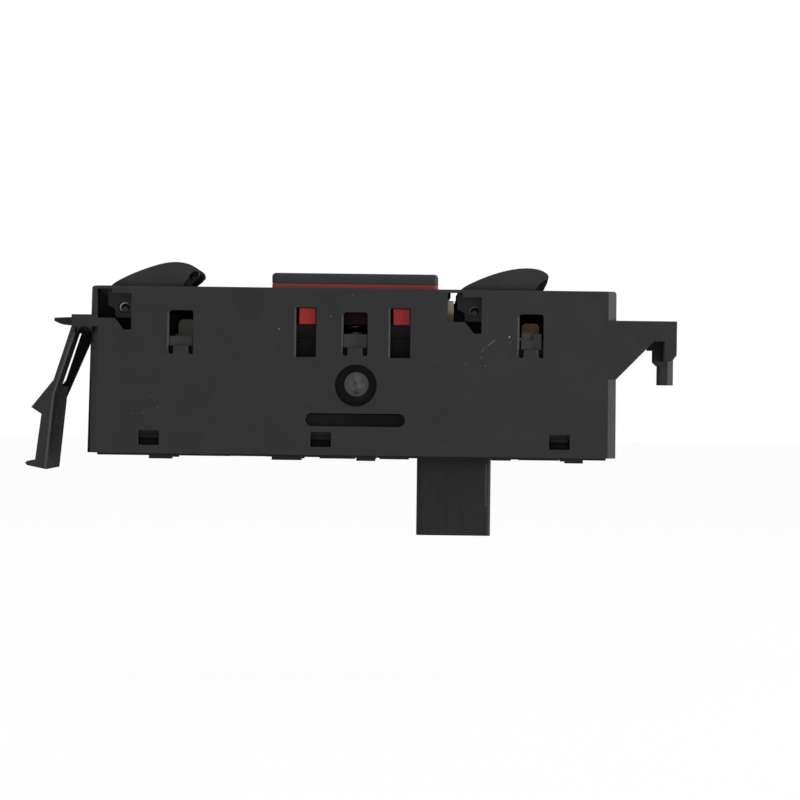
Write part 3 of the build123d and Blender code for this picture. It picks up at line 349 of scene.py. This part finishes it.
def tinted(name, colour, deep, roughness, through, layers=()):
    """Translucent moulded plastic: a smooth skin over a body that scatters light a few millimetres deep."""
    material, tree, output, place = start_material(name)
    cloud = add(tree, "TexNoise", {}, {"Vector": place, "Scale": per_size(5.0), "Detail": 3.0})
    share = add(tree, "MapRange", {}, {
        "Value": cloud.outputs["Fac"], "From Min": 0.35, "From Max": 0.65, "To Min": 0.0, "To Max": 1.0})
    base = add(tree, "Mix", {"data_type": "RGBA"}, {"Factor": share.outputs["Result"], 6: colour, 7: deep})
    shade = lay(tree, place, base.outputs[2], layers)
    fine = add(tree, "TexNoise", {}, {"Vector": place, "Scale": per_size(0.5), "Detail": 2.0})
    round_edge = add(tree, "Bevel", {"samples": 4}, {"Radius": 0.15 * MM})
    bump = add(tree, "Bump", {}, {
        "Strength": 0.4, "Distance": 0.02 * MM, "Height": fine.outputs["Fac"],
        "Normal": round_edge.outputs["Normal"]})
    skin = add(tree, "BsdfPrincipled", {}, {
        "Base Color": shade, "Roughness": roughness, "IOR": 1.58, "Specular IOR Level": 0.05,
        "Subsurface Weight": through, "Subsurface Radius": (1.0, 0.35, 0.2), "Subsurface Scale": 1.5 * MM,
        "Normal": bump.outputs["Normal"]})
    tree.links.new(skin.outputs["BSDF"], output.inputs["Surface"])
    return material


def metal(name, colour, dull, roughness, draw_mm, draw_turn=(0.0, 0.0, 0.0)):
    """Drawn or stamped metal: fine lines along the drawing direction and slightly duller patches."""
    material, tree, output, place = start_material(name)
    turned = add(tree, "Mapping", {}, {"Vector": place, "Rotation": draw_turn, "Scale": (0.06, 1.0, 1.0)})
    lines = add(tree, "TexNoise", {}, {
        "Vector": turned.outputs["Vector"], "Scale": per_size(draw_mm), "Detail": 2.0})
    patch = add(tree, "TexNoise", {}, {"Vector": place, "Scale": per_size(1.5), "Detail": 3.0})
    base = add(tree, "Mix", {"data_type": "RGBA"}, {"Factor": patch.outputs["Fac"], 6: colour, 7: dull})
    rough = add(tree, "MapRange", {}, {
        "Value": patch.outputs["Fac"], "From Min": 0.3, "From Max": 0.7,
        "To Min": roughness - 0.06, "To Max": roughness + 0.08})
    bump = add(tree, "Bump", {}, {"Strength": 0.3, "Distance": 0.01 * MM, "Height": lines.outputs["Fac"]})
    skin = add(tree, "BsdfPrincipled", {}, {
        "Base Color": base.outputs[2], "Metallic": 1.0, "Roughness": rough.outputs["Result"],
        "Normal": bump.outputs["Normal"]})
    tree.links.new(skin.outputs["BSDF"], output.inputs["Surface"])
    return material


def cover_plastic(name, colour, pale, edge, layers):
    """The base cover's plastic, with the upright lines that its shroud's cavity was machined with."""
    material = moulded(name, colour, pale, grain_mm=0.4, grain_depth=0.03, roughness=0.66, gloss=0.04,
                       edge=edge, layers=layers)
    tree = material.node_tree
    place = next(n for n in tree.nodes if n.type == "TEX_COORD").outputs["Object"]
    skin = next(n for n in tree.nodes if n.type == "BSDF_PRINCIPLED")
    flat = add(tree, "Mapping", {}, {"Vector": place, "Scale": (1.0, 1.0, 0.02)})
    lines = add(tree, "TexNoise", {}, {
        "Vector": flat.outputs["Vector"], "Scale": per_size(0.7), "Detail": 3.0, "Roughness": 0.7})
    # The lines show only on the shroud, which is what lies below the housing.
    height = add(tree, "SeparateXYZ", {}, {"Vector": place}).outputs["Z"]
    below = add(tree, "MapRange", {}, {
        "Value": height, "From Min": HOUSING_LOW.z + 2 * MM, "From Max": HOUSING_LOW.z,
        "To Min": 0.0, "To Max": 0.5})
    stripe = add(tree, "MapRange", {}, {
        "Value": lines.outputs["Fac"], "From Min": 0.42, "From Max": 0.6, "To Min": 0.0, "To Max": 1.0})
    factor = add(tree, "Math", {"operation": "MULTIPLY"}, {
        0: stripe.outputs["Result"], 1: below.outputs["Result"]})
    old = skin.inputs["Base Color"].links[0].from_socket
    mixed = add(tree, "Mix", {"data_type": "RGBA"}, {
        "Factor": factor.outputs["Value"], 6: old, 7: linear("#303031")})
    tree.links.new(mixed.outputs[2], skin.inputs["Base Color"])
    return material


def solder_mask(name):
    """Glass epoxy board under green solder mask, with raised tracks 0.4 mm wide."""
    material, tree, output, place = start_material(name)
    turned = add(tree, "Mapping", {}, {"Vector": place, "Scale": (1.0, 1.0, 0.0)})
    tracks = add(tree, "TexBrick", {"offset": 0.35, "squash": 0.6, "squash_frequency": 3}, {
        "Vector": turned.outputs["Vector"], "Scale": per_size(9.0), "Mortar Size": 0.035,
        "Mortar Smooth": 0.1, "Brick Width": 1.4, "Row Height": 0.21})
    base = add(tree, "Mix", {"data_type": "RGBA"}, {
        "Factor": tracks.outputs["Fac"], 6: linear("#12482c"), 7: linear("#2a6b3f")})
    bump = add(tree, "Bump", {}, {"Strength": 0.5, "Distance": 0.035 * MM, "Height": tracks.outputs["Fac"]})
    skin = add(tree, "BsdfPrincipled", {}, {
        "Base Color": base.outputs[2], "Roughness": 0.32, "IOR": 1.5, "Normal": bump.outputs["Normal"]})
    tree.links.new(skin.outputs["BSDF"], output.inputs["Surface"])
    return material


def chip_part(name, body, ends, axis, middle, half, roughness):
    """A small board part: its body colour, tinned where it is more than half a body from its middle."""
    material, tree, output, place = start_material(name)
    along = add(tree, "SeparateXYZ", {}, {"Vector": place}).outputs[axis]
    away = add(tree, "Math", {"operation": "SUBTRACT"}, {0: along, 1: middle})
    size = add(tree, "Math", {"operation": "ABSOLUTE"}, {0: away.outputs["Value"]})
    is_end = add(tree, "Math", {"operation": "GREATER_THAN"}, {0: size.outputs["Value"], 1: half})
    speckle = add(tree, "TexNoise", {}, {"Vector": place, "Scale": per_size(0.3), "Detail": 2.0})
    toned = add(tree, "Mix", {"data_type": "RGBA"}, {
        "Factor": speckle.outputs["Fac"], 6: body, 7: times(0.7, body)})
    base = add(tree, "Mix", {"data_type": "RGBA"}, {
        "Factor": is_end.outputs["Value"], 6: toned.outputs[2], 7: ends})
    skin = add(tree, "BsdfPrincipled", {}, {
        "Base Color": base.outputs[2], "Metallic": is_end.outputs["Value"], "Roughness": roughness})
    tree.links.new(skin.outputs["BSDF"], output.inputs["Surface"])
    return material


def plain_white_rays(tree):
    """1 for camera, glossy and transmission rays and 0 for all others."""
    light = add(tree, "LightPath")
    seen = add(tree, "Math", {"operation": "MAXIMUM"}, {
        0: light.outputs["Is Camera Ray"], 1: light.outputs["Is Glossy Ray"]})
    return add(tree, "Math", {"operation": "MAXIMUM"}, {
        0: seen.outputs["Value"], 1: light.outputs["Is Transmission Ray"]}).outputs["Value"]


def dress(material, *names):
    """Gives CAD nodes a material in all their slots."""
    for name in names:
        mesh = NODES[name].data
        mesh.materials.clear()
        mesh.materials.append(material)


def grid_mesh(name, points, material, body):
    """A mesh piece from a grid of points, rows by columns by three, closed round each row and at its ends.

    Each face joins four neighbours of the grid. The last column joins the first, and the first and
    last rows are single points repeated, so the piece is a closed skin.
    """
    rows, columns = points.shape[:2]
    ring = points[1:-1].reshape(-1, 3)
    verts = np.vstack([points[0, :1], ring, points[-1, :1]])
    row, column = np.meshgrid(np.arange(rows - 3), np.arange(columns), indexing="ij")
    after = (column + 1) % columns
    first = 1 + row * columns
    quads = np.stack([first + column, first + after, first + columns + after, first + columns + column], -1)
    spin = np.arange(columns)
    turn = (spin + 1) % columns
    last = len(verts) - 1
    base = last - columns
    fans = np.vstack([
        np.stack([np.zeros(columns, int), 1 + turn, 1 + spin], -1),
        np.stack([np.full(columns, last), base + spin, base + turn], -1),
    ])
    mesh = bpy.data.meshes.new(name)
    mesh.from_pydata(verts.tolist(), [], quads.reshape(-1, 4).tolist() + fans.tolist())
    mesh.validate()
    mesh.polygons.foreach_set("use_smooth", np.ones(len(mesh.polygons), bool))
    mesh.materials.append(material)
    piece = bpy.data.objects.new(name, mesh)
    bpy.context.scene.collection.objects.link(piece)
    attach(piece, body)


class SwitchFinish(PropertyGroup):
    """Colours and sizes of the finishes."""

    shell_colour: FloatVectorProperty(
        name="Shell colour", description="Colour of the housing moulding", subtype="COLOR", size=4,
        min=0, max=1, default=linear("#333334"))
    shell_pale: FloatVectorProperty(
        name="Shell pale", description="Paler colour that the housing mottles to", subtype="COLOR", size=4,
        min=0, max=1, default=linear("#373738"))
    lever_colour: FloatVectorProperty(
        name="Lever colour", description="Colour of the levers and the button cap", subtype="COLOR", size=4,
        min=0, max=1, default=linear("#373738"))
    lens_colour: FloatVectorProperty(
        name="Lens colour", description="Colour of the button's red skirt", subtype="COLOR", size=4,
        min=0, max=1, default=linear("#97302d"))
    guide_colour: FloatVectorProperty(
        name="Guide colour", description="Colour of the brown light guides", subtype="COLOR", size=4,
        min=0, max=1, default=linear("#a27d68"))
    grain: FloatProperty(
        name="Grain", description="Width of one grain of the moulded texture, in millimetres",
        default=0.35, min=0.05, max=3)
    edge: FloatProperty(
        name="Edge radius", description="How far the moulded edges look rounded", unit="LENGTH",
        default=0.1 * MM, min=0, max=MM)
    wear: FloatProperty(
        name="Wear", description="How strongly the dust on the shell shows", subtype="FACTOR",
        default=1.0, min=0, max=1)


class SwitchStage(PropertyGroup):
    """Sizes and levels of the stage."""

    floor_drop: FloatProperty(
        name="Floor drop", description="How far the floor is below the part", unit="LENGTH",
        default=30 * MM, min=0, max=1)
    camera_distance: FloatProperty(
        name="Camera distance", description="From the camera to the front wall", unit="LENGTH",
        default=650 * MM, min=0.1, max=5)
    half_view: FloatProperty(
        name="Half view", description="Half of what the camera sees across at the front wall", unit="LENGTH",
        default=81.53 * MM, min=0.01, max=1)
    roll: FloatProperty(
        name="Roll", description="How far the camera is turned about its own axis", subtype="ANGLE",
        default=math.radians(0.70))
    lamp_level: FloatProperty(
        name="Lamp level", description="Share of the lamps' full strength", subtype="FACTOR",
        default=1.0, min=0, max=2)


class SWITCH_OT_shell(Operator):
    """Finish the housing moulding with its clip arm and bracket"""

    bl_idname = "switch.shell"
    bl_label = "Finish Shell"

    def execute(self, context):
        finish = context.scene.switch_finish
        # Moulded ABS, spark eroded to a fine matt grain: dull charcoal, with hardly any shine at its edges.
        shell = moulded("Moulded ABS", tuple(finish.shell_colour), tuple(finish.shell_pale),
                        grain_mm=finish.grain, grain_depth=0.05, roughness=0.75, gloss=0.02,
                        edge=finish.edge, worn=finish.wear, layers=shell_layers())
        dress(shell, "housing")
        return {"FINISHED"}


class SWITCH_OT_cover(Operator):
    """Finish the base cover with its connector shroud"""

    bl_idname = "switch.cover"
    bl_label = "Finish Base Cover"

    def execute(self, context):
        # Moulded ABS from a machined cavity: darker, with fine upright lines down the shroud.
        cover = cover_plastic("Machined cavity ABS", linear("#282829"), linear("#2c2c2d"),
                              context.scene.switch_finish.edge, (
                                  # Painted shade on the low wall behind the slot and below the snap noses,
                                  # and painted highlights on the snap noses and along a line on the shroud.
                                  (in_box, (*SHADED_SLOT_WALL, 0.3), "#222322"),
                                  (in_box, (*HIGHLIT_SNAP_NOSES, 0.1), "#3b3b3d"),
                                  (in_box, (*SHADOW_UNDER_NOSES, 0.1), "#121213"),
                                  (in_box, (*SHROUD_HIGHLIGHT_LINE, 0.06), "#4c4c4e"),
                              ))
        dress(cover, "base_cover")
        return {"FINISHED"}


class SWITCH_OT_carrier(Operator):
    """Finish the inner carrier, the header and the switch body"""

    bl_idname = "switch.carrier"
    bl_label = "Finish Carrier"

    def execute(self, context):
        edge = context.scene.switch_finish.edge
        # Glass filled nylon, moulded plain: near black and a little dull.
        nylon = moulded("Glass filled nylon", linear("#3a3a3b"), linear("#3e3e3f"), grain_mm=0.5,
                        grain_depth=0.03, roughness=0.66, gloss=0.06, edge=edge, layers=carrier_layers())
        dress(nylon, "switch_carrier")
        # Liquid crystal polymer header: black and plain.
        header = moulded("Moulded LCP", linear("#1b1b1c"), linear("#202021"), grain_mm=0.3,
                         grain_depth=0.02, roughness=0.45, gloss=0.4, edge=edge)
        dress(header, "connector_header")
        # Thermoplastic polyester switch body: mid grey.
        body = moulded("Moulded PBT", linear("#4a4b4d"), linear("#505153"), grain_mm=0.3,
                       grain_depth=0.02, roughness=0.45, gloss=0.4, edge=edge)
        dress(body, "switch_body")
        return {"FINISHED"}


class SWITCH_OT_levers(Operator):
    """Finish the two window levers"""

    bl_idname = "switch.levers"
    bl_label = "Finish Levers"

    def execute(self, context):
        finish = context.scene.switch_finish
        colour = tuple(finish.lever_colour)
        # Moulded PC and ABS blend with a satin grain, worn a little smoother than the shell by fingers.
        satin = moulded("Satin PC ABS", colour, times(1.15, colour), grain_mm=0.25, grain_depth=0.025,
                        roughness=0.66, gloss=0.0, edge=LEVER_EDGES * finish.edge, layers=(
                            # Painted shade in the cut under each nose.
                            (in_box, (*SHADED_LEFT_NOSE_CUT, 0.2), "#2f2f30"),
                            (in_box, (*SHADED_RIGHT_NOSE_CUT, 0.2), "#262627"),
                        ))
        dress(satin, "left_lever", "right_lever")
        return {"FINISHED"}


class SWITCH_OT_button(Operator):
    """Finish the push button's cap and its red skirt"""

    bl_idname = "switch.button"
    bl_label = "Finish Push Button"

    def execute(self, context):
        finish = context.scene.switch_finish
        colour = tuple(finish.lever_colour)
        # Moulded PC and ABS blend, satin: the cap matches the levers.
        cap = moulded("Satin button ABS", colour, times(1.1, colour), grain_mm=0.25, grain_depth=0.02,
                      roughness=0.6, gloss=0.03, edge=LEVER_EDGES * finish.edge)
        dress(cap, "button_cap")
        lens = tuple(finish.lens_colour)
        # Red translucent polycarbonate: bright where light gets in, and painted deep red as shade inside
        # where it doesn't.
        red = tinted("Red polycarbonate", lens, times(0.8, lens), roughness=0.4, through=0.08, layers=(
            (in_box, (*SHADED_LENS_INSIDE, 0.3), "#260b0e"),
            (in_box, (*LENS_BAND, 0.05), "#89423f"),
        ))
        dress(red, "button_lens")
        return {"FINISHED"}


class SWITCH_OT_guides(Operator):
    """Finish the brown light guides and the clear lamps"""

    bl_idname = "switch.guides"
    bl_label = "Finish Light Guides"

    def execute(self, context):
        guide = tuple(context.scene.switch_finish.guide_colour)
        # Smoke brown polycarbonate light guides: cloudy, with a pale corner on the right one.
        amber = tinted("Brown polycarbonate", guide, times(0.8, guide), roughness=0.4, through=0.15,
                       layers=((in_box, (*GUIDE_CORNER, 1.3), "#cdc7be"),))
        dress(amber, "right_light_guide")
        smoke = tinted("Smoke polycarbonate", linear("#8b887a"), linear("#7b786d"), roughness=0.4,
                       through=0.15)
        dress(smoke, "left_light_guide")
        # The strip's guide is thicker, so it looks deeper and milkier, and it is pale at its top.
        strip = tinted("Milky brown polycarbonate", times(0.75, guide), times(0.65, guide), roughness=0.35,
                       through=0.2, layers=((in_box, (*STRIP_TOP, 1.2), "#c2b09f"),))
        dress(strip, "strip_light_guide")
        # Cast epoxy lamps: pale and clear.
        clear = tinted("Cast epoxy", linear("#e8e2cc"), linear("#d8cfae"), roughness=0.12, through=0.5)
        dress(clear, "left_lamp", "right_lamp", "button_lamps")
        return {"FINISHED"}


class SWITCH_OT_sliders(Operator):
    """Finish the white sliders and the plunger"""

    bl_idname = "switch.sliders"
    bl_label = "Finish Sliders"

    def execute(self, context):
        # Natural acetal: milky white and waxy.
        acetal = tinted("Natural acetal", linear("#dcdad2"), linear("#cfccc2"), roughness=0.4, through=0.25)
        dress(acetal, "left_slider", "right_slider", "switch_plunger")
        return {"FINISHED"}


class SWITCH_OT_metals(Operator):
    """Finish the springs, wipers, pads, pins and terminals"""

    bl_idname = "switch.metals"
    bl_label = "Finish Metal Parts"

    def execute(self, context):
        # Stainless spring wire, drawn: bright with fine lines.
        steel = metal("Drawn spring steel", linear("#c8c9cc"), linear("#a9abb0"), roughness=0.28,
                      draw_mm=0.06)
        dress(steel, "left_return_spring", "right_return_spring", "button_spring")
        # Phosphor bronze strip, stamped: warm and a little dull.
        bronze = metal("Stamped phosphor bronze", linear("#c99a6b"), linear("#a97c52"), roughness=0.3,
                       draw_mm=0.08)
        dress(bronze, "left_wiper", "right_wiper")
        # Gold plate over nickel on the board's pads: yellow and the brightest of the metals.
        gold = metal("Gold plate", linear("#e3bd6a"), linear("#cfa653"), roughness=0.22, draw_mm=0.08)
        dress(gold, "contact_pads")
        # Matt tin plate on the pins and the switch's legs: pale and dull, drawn upright.
        tin = metal("Matt tin plate", linear("#c9c8c4"), linear("#aeada9"), roughness=0.36, draw_mm=0.08,
                    draw_turn=(0.0, math.pi / 2, 0.0))
        dress(tin, "connector_pins", "switch_terminals")
        return {"FINISHED"}


class SWITCH_OT_board(Operator):
    """Finish the circuit board and the small parts on it"""

    bl_idname = "switch.board"
    bl_label = "Finish Circuit Board"

    def execute(self, context):
        dress(solder_mask("Green solder mask"), "circuit_board")
        tin = linear("#c4c3bf")
        low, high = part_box("resistors")
        # Thick film chip resistors: black glaze with tinned ends.
        resistor = chip_part("Thick film resistor", linear("#161618"), tin, "X",
                             middle=(low.x + high.x) / 2, half=0.35 * (high.x - low.x), roughness=0.4)
        dress(resistor, "resistors")
        # Ceramic chip capacitors: tan body.
        capacitor = chip_part("Ceramic capacitor", linear("#8f7456"), tin, "Y",
                              middle=CAPACITOR_ROW_Y * MM, half=CAPACITOR_HALF * MM, roughness=0.5)
        dress(capacitor, "capacitors")
        # Moulded epoxy chip with bright legs along both sides.
        chip = chip_part("Moulded epoxy chip", linear("#1c1c1d"), tin, "Y",
                         middle=0.0, half=CHIP_HALF * MM, roughness=0.45)
        dress(chip, "control_chip")
        return {"FINISHED"}


class SWITCH_OT_gate_mark(Operator):
    """Add the torn gate stub on the disc of the front wall"""

    bl_idname = "switch.gate_mark"
    bl_label = "Add Gate Stub"

    def execute(self, context):
        shell = bpy.data.materials["Moulded ABS"]
        rows, columns = 14, 40
        out = np.linspace(0.0, 1.0, rows)[:, None]
        turn = np.linspace(0.0, 2 * math.pi, columns, endpoint=False)[None, :]
        # A low stub: its radius wavers three and five times round, and its height falls as a cosine
        # from the middle to the rim, with a torn groove across it.
        reach = STUB_REACH * MM * (1 + 0.18 * np.cos(3 * turn + 0.6) + 0.08 * np.cos(5 * turn))
        across = out * reach * np.cos(turn)
        along = out * reach * np.sin(turn)
        groove = np.exp(-(((across * 0.6 + along * 0.8) / (STUB_GROOVE * MM)) ** 2))
        height = STUB_HEIGHT * MM * np.cos(out * math.pi / 2) * (1 - 0.55 * groove)
        middle = Vector([c * MM for c in DISC_MIDDLE])
        sunk = middle.y + STUB_SUNK * MM
        top = np.stack([middle.x + across, middle.y - height, middle.z + along], -1)
        back = top[-1:].copy()
        back[..., 1] = sunk
        end = np.tile(np.array([[middle.x, sunk, middle.z]]), (columns, 1))[None]
        grid_mesh("gate_stub", np.vstack([top, back, end]), shell, "module")
        return {"FINISHED"}


class SWITCH_OT_stage(Operator):
    """Set up the floor, the backdrop, the lamps and the camera"""

    bl_idname = "switch.stage"
    bl_label = "Set Up Stage"

    def execute(self, context):
        scene = context.scene
        stage = scene.switch_stage
        scene.view_settings.view_transform = "Standard"
        self.floor(scene, stage)
        self.world(scene)
        self.lamps(scene, stage)
        self.camera(scene, stage)
        return {"FINISHED"}

    def floor(self, scene, stage):
        """A square floor under the part, white to the camera with the part's shadow kept."""
        half, low = FLOOR_HALF, CAD_BOX[0].z - stage.floor_drop
        mesh = bpy.data.meshes.new("floor")
        corners = [(-half, -half, low), (half, -half, low), (half, half, low), (-half, half, low)]
        mesh.from_pydata(corners, [], [(0, 1, 2, 3)])
        material, tree, output, _ = start_material("Pale studio floor")
        share = add(tree, "Math", {"operation": "MULTIPLY"}, {0: plain_white_rays(tree), 1: FLOOR_WHITE})
        matt = add(tree, "BsdfDiffuse", {}, {"Color": linear("#f4f4f4")})
        white = add(tree, "Emission", {}, {"Color": linear("#ffffff"), "Strength": 1.0})
        mix = add(tree, "MixShader", {}, {
            "Fac": share.outputs["Value"], 1: matt.outputs["BSDF"], 2: white.outputs["Emission"]})
        tree.links.new(mix.outputs["Shader"], output.inputs["Surface"])
        mesh.materials.append(material)
        floor = bpy.data.objects.new("floor", mesh)
        scene.collection.objects.link(floor)

    def world(self, scene):
        """White to camera, glossy and transmission rays, and a softer grey light otherwise."""
        world = bpy.data.worlds.new("Studio")
        world.use_nodes = True
        tree = world.node_tree
        tree.nodes.clear()
        soft = add(tree, "Background", {}, {"Color": linear("#f2f4f8"), "Strength": 0.5})
        white = add(tree, "Background", {}, {"Color": linear("#ffffff"), "Strength": 1.0})
        mix = add(tree, "MixShader", {}, {
            "Fac": plain_white_rays(tree), 1: soft.outputs["Background"], 2: white.outputs["Background"]})
        output = add(tree, "OutputWorld")
        tree.links.new(mix.outputs["Shader"], output.inputs["Surface"])
        scene.world = world

    def lamps(self, scene, stage):
        """Soft boxes: a small one low at the bracket end, a weak one above and one beside the clip arm."""
        for name, place, (high, wide), power in LAMPS:
            lamp = bpy.data.lights.new(name, "AREA")
            lamp.shape = "RECTANGLE"
            lamp.size = wide
            lamp.size_y = high
            lamp.energy = power * stage.lamp_level
            holder = bpy.data.objects.new(name, lamp)
            holder.location = place
            holder.rotation_euler = (Vector(LAMP_AIM) - Vector(place)).to_track_quat("-Z", "Y").to_euler()
            scene.collection.objects.link(holder)

    def camera(self, scene, stage):
        """The camera on the photograph's axis, looking along +Y and rolled a little."""
        lens = bpy.data.cameras.new("camera")
        lens.angle = 2 * math.atan(stage.half_view / stage.camera_distance)
        holder = bpy.data.objects.new("camera", lens)
        turn, rise = math.cos(stage.roll), math.sin(stage.roll)
        right, up, back = (turn, 0, rise), (-rise, 0, turn), (0, -1, 0)
        axes = Matrix((right, up, back)).transposed().to_4x4()
        axes.translation = Vector((VIEW_X * MM, FACE_Y * MM - stage.camera_distance, VIEW_Z * MM))
        holder.matrix_world = axes
        scene.collection.objects.link(holder)
        scene.camera = holder


class SWITCH_PT_panel(Panel):
    """Lists the switch's finishes and steps"""

    bl_label = "Window Switch"
    bl_idname = "SWITCH_PT_panel"
    bl_space_type = "VIEW_3D"
    bl_region_type = "UI"
    bl_category = "Switch"

    def draw(self, context):
        layout = self.layout
        for group in (context.scene.switch_finish, context.scene.switch_stage):
            column = layout.column()
            for name in group.__annotations__:
                column.prop(group, name)
        for step in STEPS:
            layout.operator(step.bl_idname)


STEPS = (
    SWITCH_OT_shell,
    SWITCH_OT_cover,
    SWITCH_OT_carrier,
    SWITCH_OT_levers,
    SWITCH_OT_button,
    SWITCH_OT_guides,
    SWITCH_OT_sliders,
    SWITCH_OT_metals,
    SWITCH_OT_board,
    SWITCH_OT_gate_mark,
    SWITCH_OT_stage,
)
CLASSES = (SwitchFinish, SwitchStage, *STEPS, SWITCH_PT_panel)


def register():
    """Registers the classes and their properties on the scene."""
    for item in CLASSES:
        bpy.utils.register_class(item)
    bpy.types.Scene.switch_finish = PointerProperty(type=SwitchFinish)
    bpy.types.Scene.switch_stage = PointerProperty(type=SwitchStage)


def unregister():
    """Takes the properties and classes away again."""
    del bpy.types.Scene.switch_stage
    del bpy.types.Scene.switch_finish
    for item in reversed(CLASSES):
        bpy.utils.unregister_class(item)


def main():
    register()
    steps = bpy.ops.switch
    for step in (steps.shell, steps.cover, steps.carrier, steps.levers, steps.button, steps.guides,
                 steps.sliders, steps.metals, steps.board, steps.gate_mark, steps.stage):
        step()


if __name__ == "__main__":
    main()
